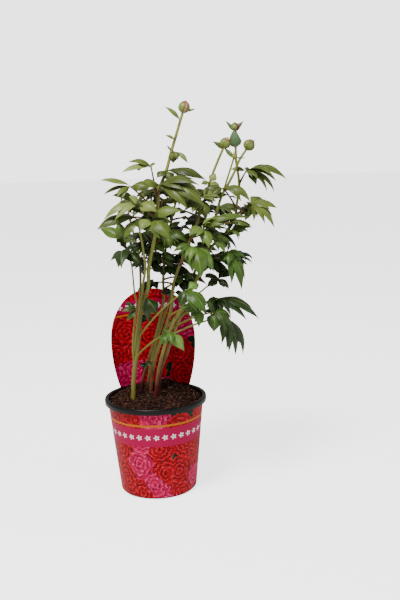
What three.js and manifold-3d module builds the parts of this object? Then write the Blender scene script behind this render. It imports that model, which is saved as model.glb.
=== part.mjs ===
// A herbaceous peony in bud, growing in its plastic nursery pot with a printed sleeve.
// Millimetres, +Z up. The origin is the centre of the pot's underside. The plant leans
// towards +X, and the sleeve's picture card stands up behind it, on the +Y side.

import * as THREE from 'three';
import { mergeVertices } from 'three/addons/utils/BufferGeometryUtils.js';
import Module from 'manifold-3d';

const wasm = await Module();
wasm.setup();

// Driving sizes of the pot
const POT_HEIGHT = 177;
const POT_BASE_RADIUS = 70;
const POT_NECK_RADIUS = 87.6;   // outside of the wall, just under the rim
const POT_RIM_RADIUS = 95;
const POT_RIM_DEPTH = 10;
const POT_WALL = 1.5;
const POT_FLOOR = 2;
const ROUND_SIDES = 28;         // facets round the pot, the soil and the sleeve
const GAP = 0.3;                // clearance between neighbours that touch

// Driving sizes of the soil
const SOIL_LEVEL = 163;         // at the wall, at the front
const SOIL_RISE = 12;           // how much higher it lies at the back
const SOIL_MOUND = 8;           // heap round the crown of the plant
const ROOT_DEPTH = 20;          // how far a stem stands in its hole

// Driving sizes of the printed sleeve and its picture card
const CARD_THICKNESS = 0.8;
const CARD_TURN = THREE.MathUtils.degToRad(3.7);
const CARD_NECK_HALF = 67;
const CARD_HALF_WIDTH = 81;
const CARD_WIDEST_Z = 268;
const CARD_TOP_Z = 362.5;
const CARD_TOP_RADIUS = 108.5;

// Driving sizes of a leaflet, as shares of its length or width
const RIB_HALF = 0.6;           // half the thickness at the midrib
const BLADE_STATIONS = [[0, 0], [0.1, 0.1], [0.44, 1], [0.76, 0.7]];   // along, and width there
const SLIM_STATIONS = [[0, 0], [0.14, 0.2], [0.55, 1]];
const BLADE_NARROW = 24;        // a leaflet narrower than this has one station fewer
const FULLNESS = 1.5;           // how much wider a leaflet is than the widths in the rows below
const NECK_HALF = 0.7;          // half the width where it leaves the hub
const BLADE_FOLD = -0.3;        // how far the two halves are folded from flat, down
const BRACT_FOLD = 0.35;        // a bract is hollow towards its bud instead

const up = new THREE.Vector3(0, 0, 1);
const at = (p) => new THREE.Vector3(p[0], p[1], p[2]);

// Closed meshes

// A closed mesh as a solid, with its faces turned to point out
function solidOf(geometry) {
  const bare = geometry.clone();
  bare.deleteAttribute('normal');
  bare.deleteAttribute('uv');
  const merged = mergeVertices(bare, 1e-4);
  const points = Float32Array.from(merged.attributes.position.array);
  const kept = [];
  const corner = (i) => new THREE.Vector3(points[3 * i], points[3 * i + 1], points[3 * i + 2]);
  let volume = 0;
  for (let i = 0; i < merged.index.count; i += 3) {
    const [a, b, c] = [0, 1, 2].map((k) => merged.index.getX(i + k));
    if (a === b || b === c || c === a) continue;
    kept.push([a, b, c]);
    volume += corner(a).dot(corner(b).cross(corner(c)));
  }
  const triangles = kept.flatMap(([a, b, c]) => (volume > 0 ? [a, b, c] : [a, c, b]));
  const triVerts = Uint32Array.from(triangles);
  return new wasm.Manifold(new wasm.Mesh({ numProp: 3, vertProperties: points, triVerts }));
}

// A solid back as a geometry
function geometryOf(solid) {
  const mesh = solid.getMesh();
  const geometry = new THREE.BufferGeometry();
  const points = new Float32Array(mesh.numVert * 3);
  for (let i = 0; i < mesh.numVert; i += 1) {
    for (let k = 0; k < 3; k += 1) points[3 * i + k] = mesh.vertProperties[mesh.numProp * i + k];
  }
  geometry.setAttribute('position', new THREE.BufferAttribute(points, 3));
  geometry.setIndex(new THREE.BufferAttribute(Uint32Array.from(mesh.triVerts), 1));
  geometry.computeVertexNormals();
  return geometry;
}

// The largest body of a union, without the scraps and sealed hollows that crossings leave. It is
// taken twice, because near corners that merge can close off one more hollow.
function joined(solids) {
  const largest = (solid) => solid.decompose().reduce((best, body) => (
    body.volume() > best.volume() ? body : best));
  const once = largest(wasm.Manifold.union(solids));
  return largest(solidOf(geometryOf(once)));
}

// A profile of [radius, height] points turned round the Z axis
function turned(profile, sides = ROUND_SIDES) {
  const points = profile.map(([r, z]) => new THREE.Vector2(r, z));
  return solidOf(new THREE.LatheGeometry(points, sides).rotateX(Math.PI / 2));
}

// Rings of points joined into a skin, as the corners of its triangles. The last ring may be a
// single point. Quads are split from odd corners to even ones, so a blade's two faces match.
function skin(rings, openStart = false) {
  const corners = [];
  for (let i = 0; i + 1 < rings.length; i += 1) {
    const [near, far] = [rings[i], rings[i + 1]];
    for (let k = 0; k < near.length; k += 1) {
      const next = (k + 1) % near.length;
      if (far.length === 1) corners.push(near[k], near[next], far[0]);
      else if (k % 2 === 0) corners.push(near[k], near[next], far[next], near[k], far[next], far[k]);
      else corners.push(near[k], near[next], far[k], near[next], far[next], far[k]);
    }
  }
  const first = rings[0];
  if (!openStart) {
    for (let k = 1; k + 1 < first.length; k += 1) corners.push(first[0], first[k + 1], first[k]);
  }
  const last = rings.at(-1);
  for (let k = 1; k + 1 < last.length; k += 1) corners.push(last[0], last[k], last[k + 1]);
  return corners;
}

const solidFrom = (corners) => solidOf(new THREE.BufferGeometry().setFromPoints(corners));
const skinned = (rings) => solidFrom(skin(rings));

// A tapered tube of few sides along points, with one radius for each point
function tube(points, radii, sides) {
  const across = points.at(-1).clone().sub(points[0]).normalize();
  const hint = Math.abs(across.z) > 0.6 ? new THREE.Vector3(1, 0, 0) : up;
  const rings = points.map((p, i) => {
    const before = points[Math.max(i - 1, 0)];
    const after = points[Math.min(i + 1, points.length - 1)];
    const along = after.clone().sub(before).normalize();
    const u = hint.clone().cross(along).normalize();
    const v = along.clone().cross(u);
    return Array.from({ length: sides }, (_, k) => {
      const angle = (2 * Math.PI * k) / sides;
      const out = u.clone().multiplyScalar(Math.cos(angle)).addScaledVector(v, Math.sin(angle));
      return p.clone().addScaledVector(out, radii[i]);
    });
  });
  return skinned(rings);
}

// Seeded draws between 0 and 1
function drawsFrom(seed) {
  let state = (seed * 7919 + 17) % 2147483647;
  return () => {
    state = (state * 16807) % 2147483647;
    return state / 2147483647;
  };
}

// The pot: a thin tapered wall with a rolled rim, a flat floor and drain holes
function wallRadius(z) {
  const share = z / (POT_HEIGHT - POT_RIM_DEPTH);
  return POT_BASE_RADIUS + (POT_NECK_RADIUS - POT_BASE_RADIUS) * share;
}

function makePot() {
  const lip = POT_HEIGHT - POT_RIM_DEPTH;
  const shoulder = 4;
  const body = turned([
    [0, 0], [POT_BASE_RADIUS - 2.5, 0], [wallRadius(3), 3], [wallRadius(lip), lip],
    [wallRadius(lip) + 0.3, POT_HEIGHT - shoulder], [POT_RIM_RADIUS - 1.7, POT_HEIGHT - shoulder],
    [POT_RIM_RADIUS - 1.7, lip], [POT_RIM_RADIUS - 0.2, lip], [POT_RIM_RADIUS, POT_HEIGHT - 3],
    [POT_RIM_RADIUS - 1.2, POT_HEIGHT - 0.6], [POT_RIM_RADIUS - 3, POT_HEIGHT],
    [wallRadius(lip) - POT_WALL + 2, POT_HEIGHT - 1], [wallRadius(lip) - POT_WALL, lip],
    [wallRadius(POT_FLOOR) - POT_WALL, POT_FLOOR], [0, POT_FLOOR],
  ]);
  const drainRadius = 5;
  const drainCircle = 54;
  const drainCount = 8;
  let pot = body;
  for (let i = 0; i < drainCount; i += 1) {
    const angle = (2 * Math.PI * (i + 0.5)) / drainCount;
    const hole = new THREE.CylinderGeometry(drainRadius, drainRadius, 20, 10).rotateX(Math.PI / 2);
    hole.translate(drainCircle * Math.cos(angle), drainCircle * Math.sin(angle), 0);
    pot = pot.subtract(solidOf(hole));
  }
  return pot;
}

// The soil: a filling with a lumpy top that heaps up towards the back and round the crown
const CROWN = [-16, 24];

function soilHeight(x, y) {
  const back = 0.5 + (0.5 * y) / POT_NECK_RADIUS;
  const away = Math.hypot(x - CROWN[0], y - CROWN[1]);
  const heap = SOIL_MOUND * Math.exp(-((away / 42) ** 2));
  const rear = 7 * Math.exp(-(((x - 14) / 30) ** 2) - ((y - 66) / 20) ** 2);
  const lumps = 1.6 * Math.sin(x / 7.1 + 1.3) * Math.sin(y / 6.3 + 0.4) + 1.1 * Math.sin((x + y) / 4.7);
  return SOIL_LEVEL + SOIL_RISE * back * back + heap + rear + lumps;
}

function makeSoil() {
  const inside = (z) => wallRadius(z) - POT_WALL - GAP;
  const floor = POT_FLOOR + GAP;
  const shares = [1, 0.9, 0.68, 0.44, 0.2];
  const angles = Array.from({ length: ROUND_SIDES }, (_, k) => (2 * Math.PI * k) / ROUND_SIDES);
  const foot = inside(floor);
  const bottom = angles.map((a) => new THREE.Vector3(foot * Math.sin(a), foot * Math.cos(a), floor));
  const rings = shares.map((share) => angles.map((a) => {
    const rim = inside(SOIL_LEVEL);
    const height = soilHeight(rim * share * Math.sin(a), rim * share * Math.cos(a)) - (share === 1 ? 3 : 0);
    const r = share === 1 ? inside(Math.min(height, POT_HEIGHT - POT_RIM_DEPTH)) : rim * share;
    return new THREE.Vector3(r * Math.sin(a), r * Math.cos(a), height);
  }));
  const centre = [new THREE.Vector3(0, 0, soilHeight(0, 0))];
  return skinned([bottom, ...rings, centre]);
}

// The printed sleeve: a paper-thin cone round the pot whose back stands up as a picture card.
// The card passes outside the rim, leans out a little and has a domed top.
const CARD_DOME = 2.2;           // 2 would be an ellipse, more is squarer

function cardOutline() {
  const outline = new THREE.Shape();
  const neckZ = POT_HEIGHT - POT_RIM_DEPTH - 25;
  outline.moveTo(-CARD_NECK_HALF, neckZ);
  outline.lineTo(CARD_NECK_HALF, neckZ);
  outline.lineTo(CARD_NECK_HALF + 1, POT_HEIGHT);
  outline.quadraticCurveTo(CARD_HALF_WIDTH, CARD_WIDEST_Z - 50, CARD_HALF_WIDTH, CARD_WIDEST_Z);
  const steps = 14;
  for (let i = 1; i <= steps; i += 1) {
    const angle = (Math.PI * i) / steps;
    const across = Math.sign(Math.cos(angle)) * Math.abs(Math.cos(angle)) ** (2 / CARD_DOME);
    const rise = Math.sin(angle) ** (2 / CARD_DOME);
    outline.lineTo(CARD_HALF_WIDTH * across, CARD_WIDEST_Z + (CARD_TOP_Z - CARD_WIDEST_Z) * rise);
  }
  outline.quadraticCurveTo(-CARD_HALF_WIDTH, CARD_WIDEST_Z - 50, -CARD_NECK_HALF - 1, POT_HEIGHT);
  return outline;
}

function makeSleeve() {
  const inner = (z) => wallRadius(z) + GAP;
  const top = POT_HEIGHT - POT_RIM_DEPTH - 0.5;
  const bottom = 3;
  const wrap = turned([
    [inner(bottom), bottom], [inner(bottom) + CARD_THICKNESS, bottom],
    [inner(top) + CARD_THICKNESS, top], [inner(top), top], [inner(bottom), bottom],
  ]);
  const flareStart = top - 16;
  const behindRim = POT_RIM_RADIUS + GAP + 0.1;
  const shellTop = CARD_TOP_Z + 10;
  const inside = [
    [inner(flareStart - 6) + 0.1, flareStart - 6], [inner(flareStart) + 0.1, flareStart], [behindRim, top],
    [behindRim + 0.3, POT_HEIGHT], [CARD_TOP_RADIUS, shellTop],
  ];
  const outside = inside.map(([r, z]) => [r + CARD_THICKNESS, z]).reverse();
  const shell = turned([...inside, ...outside, inside[0]]);
  const reach = 160;
  const slab = { depth: reach, bevelEnabled: false, curveSegments: 6 };
  const outline = new THREE.ExtrudeGeometry(cardOutline(), slab);
  outline.rotateX(Math.PI / 2).translate(0, reach, 0).rotateZ(CARD_TURN);
  return wrap.add(shell.intersect(solidOf(outline)));
}

// The stems, as routes through hand-chosen points with a radius at each end.
// A side branch starts on the route that it names, at one of its points.
const ROUTES = {
  s1: {
    node: 1, radii: [4.4, 2.1],
    points: [[-43, 2, 166], [-38, 2, 222], [-28, -2, 279], [-20, -6, 339], [-5, -10, 382],
      [-2, -14, 419], [12, -18, 479], [19, -18, 532], [22, -16, 558], [36, -13, 591], [47, -10, 627],
      [68, -6, 690]],
  },
  s1b: {
    node: 1, radii: [2.6, 1.5], branch: true,
    points: [[-20, -6, 339], [-14, -12, 388], [-8, -20, 420], [-10, -28, 457], [-14, -36, 489],
      [-17, -46, 510]],
  },
  s1c: {
    node: 1, radii: [2.2, 1.3], branch: true,
    points: [[-36, 2, 233], [-38, -6, 268], [-33, -14, 313], [-26, -20, 353], [-29, -25, 378],
      [-31, -30, 422], [-35, -38, 451]],
  },
  s2: {
    node: 2, radii: [3.2, 1.7],
    points: [[-30, 30, 168], [-23, 30, 206], [-10, 28, 245], [0, 26, 275], [13, 26, 318], [21, 28, 356],
      [21, 32, 389], [26, 36, 436], [37, 40, 486], [48, 44, 528], [54, 46, 551]],
  },
  s3: {
    node: 3, radii: [3.7, 1.9],
    points: [[-11, 20, 168], [-7, 20, 207], [1, 16, 243], [13, 12, 277], [28, 8, 316], [36, 4, 346],
      [40, 0, 381], [50, -4, 412], [68, -8, 452], [88, -8, 499], [105, -6, 546], [119, -4, 585],
      [138, -2, 627]],
  },
  s4: {
    node: 4, radii: [3.7, 1.8],
    points: [[4, 28, 168], [9, 28, 213], [21, 26, 245], [38, 22, 292], [54, 20, 330], [67, 20, 371],
      [87, 22, 417], [116, 24, 453], [140, 22, 476], [157, 18, 504], [161, 16, 527], [166, 12, 563],
      [161, 8, 606], [161, 8, 626]],
  },
  s5: {
    node: 5, radii: [3.4, 1.8],
    points: [[-1, 2, 167], [6, 0, 217], [17, -6, 260], [34, -14, 307], [60, -20, 354], [85, -22, 399],
      [104, -22, 449], [119, -20, 502], [132, -16, 542], [143, -14, 561], [157, -12, 586],
      [166, -11, 606], [178, -10, 623]],
  },
  s5b: {
    node: 5, radii: [1.6, 1.4], branch: true,
    points: [[134, -16, 546], [145, -24, 579], [155, -28, 608]],
  },
  s6: {
    node: 6, radii: [3.2, 1.7],
    points: [[-45, 30, 166], [-43, 38, 205], [-38, 46, 263], [-26, 52, 343], [-23, 56, 420],
      [-33, 60, 477], [-42, 64, 515]],
  },
  s7: {
    node: 7, radii: [3.4, 1.8],
    points: [[-18, 44, 168], [-9, 52, 226], [14, 62, 301], [42, 68, 377], [66, 72, 445], [82, 74, 494],
      [90, 76, 526]],
  },
};

// The leaves. A row is one spray: the route that it grows on, the height where its stalk
// leaves that route, the hub where its leaflets meet, and each leaflet's tip and width.
const SPRAYS = [
  ['s1', 532, [10, -22, 598], [[-29, -38, 608, 17], [-39, -55, 591, 14], [14, -2, 605, 7],
    [-15, 22, 592, 15]]],
  ['s1', 588, [36, -18, 591], [[20, -34, 580, 13], [106, -34, 573, 18], [74, 16, 570, 15],
    [46, -34, 572, 13]]],
  ['s1', 545, [24, -24, 565], [[95, -62, 567, 24], [104, -74, 527, 24], [73, -36, 547, 13],
    [-9, -50, 566, 17], [62, 12, 549, 17]]],
  ['s1', 505, [-12, -52, 533], [[-72, -72, 512, 19], [-28, -66, 550, 13], [20, -84, 523, 18],
    [-61, -20, 550, 11]]],
  ['s1', 515, [-26, -40, 566], [[-78, -58, 579, 15], [-75, -34, 553, 9], [-49, -70, 548, 8],
    [8, -56, 562, 15], [-41, -72, 540, 7]]],
  ['s1b', 505, [-17, -46, 510], [[-85, -72, 495, 17], [-39, -66, 478, 17], [-63, -10, 500, 17],
    [7, -84, 488, 17]]],
  ['s1', 490, [8, -58, 508], [[63, -78, 523, 16], [41, -96, 476, 26], [-8, -90, 493, 15],
    [44, -40, 499, 13]]],
  ['s1c', 448, [-35, -38, 451], [[-66, -52, 439, 13], [-51, -70, 431, 15], [-39, -84, 428, 17],
    [-16, -56, 434, 20]]],
  ['s1c', 436, [-43, -34, 471], [[-87, -12, 492, 14], [-51, -30, 506, 13]]],
  ['s1c', 325, [-26, -26, 346], [[-52, -40, 345, 9], [-44, -34, 327, 13], [-48, -8, 355, 6]]],
  ['s1', 345, [-9, -16, 366], [[10, -24, 335, 18], [-4, -12, 318, 11]]],
  ['s1', 290, [68, -84, 388], [[54, -96, 361, 20], [98, -104, 348, 24], [88, -70, 395, 13]]],
  ['s1', 252, [31, -56, 307], [[17, -66, 288, 13], [27, -80, 292, 13], [37, -74, 293, 11],
    [58, -72, 277, 15], [20, -40, 307, 9]]],
  ['s2', 220, [-18, 14, 236], [[-28, 4, 232, 9], [-18, -2, 228, 9], [-4, 4, 235, 9]]],
  ['s2', 535, [54, 42, 560], [[36, 62, 573, 15], [6, 58, 556, 15], [88, 66, 557, 17],
    [70, 14, 519, 15]]],
  ['s2', 460, [32, 20, 482], [[70, -10, 462, 17], [1, 4, 462, 15], [38, -20, 451, 15],
    [58, 40, 496, 11]]],
  ['s2', 415, [17, 22, 440], [[45, 4, 428, 9], [41, 22, 413, 9], [1, 10, 425, 7], [4, 34, 405, 7],
    [17, -14, 422, 7]]],
  ['s3', 560, [112, -12, 569], [[97, -20, 566, 7], [130, -22, 558, 13], [121, 22, 581, 11]]],
  ['s3', 505, [94, -30, 539], [[130, -60, 544, 13], [80, -70, 519, 17], [66, -50, 522, 13],
    [101, -72, 503, 15]]],
  ['s3', 465, [98, -52, 489], [[107, -76, 458, 17], [73, -88, 481, 15], [151, -74, 507, 17],
    [181, -46, 505, 11], [116, -60, 516, 13]]],
  ['s3', 420, [79, -66, 460], [[92, -100, 410, 29], [114, -78, 417, 20], [45, -82, 454, 13],
    [74, -92, 437, 13], [59, -58, 439, 13]]],
  ['s3', 320, [86, -56, 349], [[53, -70, 352, 17], [85, -66, 318, 13], [72, -78, 337, 13],
    [96, -40, 367, 15]]],
  ['s3', 290, [113, -66, 344], [[111, -78, 311, 24], [147, -70, 308, 13], [143, -50, 329, 15],
    [96, -76, 366, 15]]],
  ['s4', 562, [178, 2, 585], [[149, -10, 590, 9], [195, -10, 561, 11], [197, -24, 572, 15],
    [226, -34, 573, 11], [250, -14, 570, 18], [229, 10, 545, 17], [181, 14, 593, 7]]],
  ['s4', 520, [135, -28, 558], [[182, -46, 533, 17], [114, -40, 546, 9], [161, 4, 553, 11]]],
  ['s4', 500, [184, -2, 529], [[232, -10, 519, 20], [225, -26, 485, 19], [188, -34, 499, 13],
    [173, -20, 499, 11], [208, 30, 534, 17]]],
  ['s4', 460, [147, -6, 481], [[105, -20, 487, 7], [164, -22, 471, 9], [162, 10, 462, 9],
    [187, 6, 484, 13], [141, 24, 495, 11]]],
  ['s4', 420, [138, -28, 445], [[163, -46, 378, 20], [140, -60, 426, 15], [136, -44, 468, 11],
    [174, -4, 423, 15]]],
  ['s3', 300, [122, -26, 397], [[141, -38, 380, 13], [102, -34, 384, 13], [123, -12, 389, 7],
    [97, -60, 405, 19], [147, 4, 408, 13]]],
  ['s4', 318, [120, -22, 361], [[194, -34, 323, 25], [118, -40, 338, 11], [100, -8, 352, 15],
    [143, -60, 333, 15]]],
  ['s1', 622, [51, -17, 624], [[75, -23, 603, 7], [49, -16, 604, 10], [58, -24, 609, 8],
    [46, -20, 610, 7]]],
  ['s5', 450, [117, -34, 473], [[135, -56, 445, 15], [149, -22, 448, 13], [104, -60, 466, 11]]],
  ['s5', 290, [135, -10, 324], [[126, -24, 286, 11], [138, -30, 262, 13], [150, -14, 251, 13],
    [156, 4, 269, 11], [164, 10, 250, 11]]],
];

// Small leaves that sit on a stem without a stalk: the route, the height, the tip and the width.
// They turn their upper side to the front.
const BRACTS = [
  ['s1', 677, [37, -16, 702], 8],
  ['s1', 645, [36, -16, 653], 7],
  ['s1', 643, [59, -8, 655], 6],
  ['s1', 624, [38, -12, 636], 4],
];
const BRACT_SIDE = new THREE.Vector3(0, -1, 0.5);

// The sprays of the far side. A row gives the route, the height where the stalk leaves it,
// the stalk's heading and pitch in degrees, its length, and the leaflets' length and count.
const FAR_SPRAYS = [
  ['s6', 512, 80, 40, 34, 54, 5],
  ['s6', 505, -20, 0, 26, 46, 5],
  ['s6', 470, -60, 15, 30, 46, 5],
  ['s6', 450, 95, 25, 34, 48, 5],
  ['s6', 430, -10, -10, 34, 52, 5],
  ['s6', 405, -5, 5, 46, 54, 5],
  ['s7', 522, 80, 40, 32, 58, 5],
  ['s7', 508, -10, 15, 42, 56, 5],
  ['s7', 505, 190, 20, 40, 56, 5],
  ['s7', 462, -110, 15, 34, 50, 5],
  ['s7', 460, 20, 10, 48, 60, 5],
  ['s7', 440, 150, 15, 52, 60, 5],
  ['s7', 420, -20, 0, 48, 56, 5],
  ['s7', 524, -60, 55, 36, 44, 5],
  ['s7', 375, 200, 10, 40, 50, 4],
  ['s4', 500, 35, 30, 44, 58, 5],
  ['s4', 500, 110, 0, 34, 44, 5],
  ['s4', 425, 40, -5, 44, 50, 5],
  ['s2', 530, 160, 45, 32, 52, 5],
  ['s2', 500, 20, 5, 30, 50, 5],
  ['s2', 440, 200, 20, 36, 50, 4],
  ['s2', 390, -20, 10, 38, 50, 4],
  ['s5', 430, 10, 5, 50, 54, 5],
  ['s5', 492, 20, 5, 34, 42, 5],
  ['s3', 440, 60, 10, 44, 56, 5],
  ['s4', 325, 15, 5, 50, 44, 4],
  ['s1', 460, 60, 10, 46, 56, 5],
  ['s1', 420, 97, 10, 40, 54, 5],
  ['s1', 520, 70, 30, 40, 54, 4],
  ['s6', 500, -40, 40, 40, 46, 5],
  ['s6', 455, -30, 20, 36, 50, 5],
  ['s3', 492, 75, 5, 44, 58, 5],
  ['s7', 500, 30, 25, 40, 56, 5],
  ['s3', 366, 80, 5, 18, 44, 4],
  ['s2', 372, -20, 25, 34, 46, 4],
  ['s2', 434, -10, 5, 26, 46, 5],
  ['s1', 545, 110, 20, 34, 54, 4],
  ['s7', 478, 150, 10, 24, 54, 5],
];

const FAN = THREE.MathUtils.degToRad(165);   // from a spray's first leaflet to its last
const FAR_FULLNESS = 0.46;                   // width of a far leaflet as a share of its length

// The point of a route at a height
function pointAtHeight(name, z) {
  const points = ROUTES[name].points.map(at);
  let i = 0;
  while (i < points.length - 2 && points[i + 1].z < z) i += 1;
  return points[i].clone().lerp(points[i + 1], (z - points[i].z) / (points[i + 1].z - points[i].z));
}

const STEM_SIDES = 5;

function stemTube(name, extra = 0) {
  const { points, radii, branch } = ROUTES[name];
  const line = points.map(at);
  const sizes = line.map((_, i) => radii[0] + ((radii[1] - radii[0]) * i) / (line.length - 1) + extra);
  if (!branch) {
    const down = line[0].clone().sub(line[1]).normalize();
    line.unshift(line[0].clone().addScaledVector(down, ROOT_DEPTH + extra));
    sizes.unshift(sizes[0]);
  }
  return tube(line, sizes, branch ? 4 : STEM_SIDES);
}

// The side that a leaflet turns up: to the sky, and out from a line behind the plant, because
// the plant leans to the light at its front
const PLANT_AXIS = new THREE.Vector3(50, 150, 0);

function upperSide(hub) {
  const outward = hub.clone().sub(PLANT_AXIS).setZ(0).normalize();
  return up.clone().addScaledVector(outward, 0.75);
}

// A leaflet: a thin blade folded along its midrib, arched from its hub to its tip, as rings
function bladeRings(hub, tip, width, bend) {
  const { arch, roll = 0, side: upper = upperSide(hub), extra = 0, from = 0 } = bend;
  const { fold = BLADE_FOLD, outline = width < BLADE_NARROW ? SLIM_STATIONS : BLADE_STATIONS } = bend;
  const chord = tip.clone().sub(hub);
  const length = chord.length();
  const lift = upper.clone();
  const along = chord.clone().normalize();
  lift.addScaledVector(along, -lift.dot(along)).normalize();
  const crest = hub.clone().addScaledVector(chord, 0.5).addScaledVector(lift, arch * length);
  const rib = new THREE.QuadraticBezierCurve3(hub, crest, tip);
  const ring = (t, half, thick) => {
    const p = rib.getPoint(t);
    const forward = rib.getTangent(t);
    const face = lift.clone().applyAxisAngle(along, roll);
    face.addScaledVector(forward, -face.dot(forward)).normalize();
    const side = forward.clone().cross(face);
    const edge = face.clone().multiplyScalar(half * fold);
    return [
      p.clone().add(edge).addScaledVector(side, half), p.clone().addScaledVector(face, thick),
      p.clone().add(edge).addScaledVector(side, -half), p.clone().addScaledVector(face, -thick),
    ];
  };
  const rings = outline.filter(([t]) => t >= from).map(([t, share]) => (
    ring(t, Math.max((width * share) / 2, NECK_HALF) + extra, RIB_HALF + extra)));
  return [...rings, [tip.clone().addScaledVector(along, extra * 2)]];
}

const blade = (hub, tip, width, bend) => skinned(bladeRings(hub, tip, width, bend));

// A leaf stalk of four sides, bowed up a little, as rings from its hub to its route
const STALK_STEPS = [[0, 1.3], [0.12, 1.5], [0.55, 1.8], [1, 2.1]];   // along, and half its thickness
const SHORT_STALK = 60;         // a stalk shorter than this takes the steps below
const SHORT_STEPS = STALK_STEPS.toSpliced(2, 1);

function stalkRings(root, hub, sway, extra = 0) {
  const span = root.distanceTo(hub);
  const middle = root.clone().lerp(hub, 0.5).addScaledVector(up, 0.1 * span).add(sway);
  const curve = new THREE.QuadraticBezierCurve3(hub, middle, root);
  const upper = upperSide(hub);
  const steps = span > SHORT_STALK ? STALK_STEPS : SHORT_STEPS;
  return steps.map(([t, half]) => {
    const p = curve.getPoint(t);
    const forward = curve.getTangent(t);
    const face = upper.clone().addScaledVector(forward, -forward.dot(upper)).normalize();
    const side = forward.clone().cross(face);
    return [[side, 1], [face, 1], [side, -1], [face, -1]].map(([way, sign]) => (
      p.clone().addScaledVector(way, sign * (half + extra))));
  });
}

const stalk = (root, hub, sway, extra) => skinned(stalkRings(root, hub, sway, extra));

// A spray as one skin: its stalk and its leaflets go round the hub and share its corners.
// A leaflet too near the one before it stays out of the skin, as a solid of its own.
const HUB_HALF = 1.3;           // half the thickness of a hub
const HUB_REACH = 1.7;          // from its centre to the corners between its leaflets
const STALK_ROOM = 0.35;        // radians that are left to the stalk

function spraySolids(hub, stem, leaflets) {
  const axis = upperSide(hub).normalize();
  const inPlane = (v) => v.clone().addScaledVector(axis, -axis.dot(v)).normalize();
  const centre = (ring) => ring[0].clone().lerp(ring[2], 0.5);
  const start = inPlane(centre(stem[1]).sub(hub));
  const quarter = axis.clone().cross(start);
  const spokes = leaflets.map((rings) => {
    const out = centre(rings[1]).sub(hub);
    const flat = inPlane(out);
    const turn = Math.atan2(flat.dot(quarter), flat.dot(start));
    const need = Math.asin(Math.min(1, (rings[1][0].distanceTo(rings[1][2]) / 2 + 0.15) / out.length()));
    return { rings, need, turn: turn < 0 ? turn + 2 * Math.PI : turn };
  }).sort((a, b) => a.turn - b.turn);
  const kept = [{ rings: stem, need: STALK_ROOM, turn: 0 }];
  const loose = [];
  for (const spoke of spokes) {
    const before = kept.at(-1);
    const room = Math.min(spoke.turn - before.turn - before.need, 2 * Math.PI - spoke.turn - kept[0].need);
    if (room > spoke.need) kept.push(spoke);
    else loose.push(skinned(spoke.rings));
  }
  const top = hub.clone().addScaledVector(axis, HUB_HALF);
  const under = hub.clone().addScaledVector(axis, -HUB_HALF);
  const borders = kept.map((spoke, i) => {
    const next = i + 1 < kept.length ? kept[i + 1].turn : 2 * Math.PI;
    const angle = (spoke.turn + next) / 2;
    const border = hub.clone().addScaledVector(start, HUB_REACH * Math.cos(angle));
    return border.addScaledVector(quarter, HUB_REACH * Math.sin(angle));
  });
  const corners = kept.flatMap(({ rings }, i) => (
    skin([[borders.at(i - 1), top, borders[i], under], ...rings.slice(1)], true)));
  return [solidFrom(corners), ...loose];
}

// Every spray as a hub and its tips, the far side's worked out from their rows
function allSprays() {
  const near = SPRAYS.map(([route, z, hub, tips]) => ({
    route, z, hub: at(hub), tips: tips.map((t) => ({ tip: at(t), width: FULLNESS * t[3] })),
  }));
  const far = FAR_SPRAYS.map(([route, z, heading, pitch, reach, length, count], row) => {
    const draw = drawsFrom(500 + row);
    const turn = THREE.MathUtils.degToRad(heading);
    const rise = THREE.MathUtils.degToRad(pitch);
    const root = pointAtHeight(route, z);
    const out = new THREE.Vector3(Math.cos(turn), Math.sin(turn), 0);
    const hub = root.clone().addScaledVector(out, reach * Math.cos(rise));
    hub.addScaledVector(up, reach * Math.sin(rise));
    const tips = Array.from({ length: count }, (_, i) => {
      const fan = (i / (count - 1) - 0.5) * FAN;
      const size = length * (1 - 0.28 * Math.abs(fan)) * (0.9 + 0.2 * draw());
      const ahead = new THREE.Vector3(Math.cos(turn + fan), Math.sin(turn + fan), 0);
      const drop = 0.12 + 0.5 * draw();
      const tip = hub.clone().addScaledVector(ahead, size * Math.cos(drop));
      tip.addScaledVector(up, -size * Math.sin(drop));
      return { tip, width: FAR_FULLNESS * size, outline: SLIM_STATIONS };
    });
    return { route, z, hub, tips };
  });
  return [...near, ...far];
}

// Solids that are already in place, each with its node and its box
const placed = [];

function place(node, solid, final = false) {
  placed.push({ node, solid, final, box: solid.boundingBox() });
}

function meets(solid, test) {
  const box = solid.boundingBox();
  return placed.some((other) => {
    const apart = [0, 1, 2].some((k) => box.min[k] > other.box.max[k] || box.max[k] < other.box.min[k]);
    return test(other) && !apart && solid.intersect(other.solid).volume() > 1e-5;
  });
}

// The foliage. Each stalk and each leaflet keeps its place if it is clear there. If not, it
// tries small shifts, one seeded draw after another, and keeps the first that is clear.
const CLEAR = 0.45;             // spare that is left to other stems
const STALK_TRIES = 40;
const BLADE_TRIES = 60;

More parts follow.
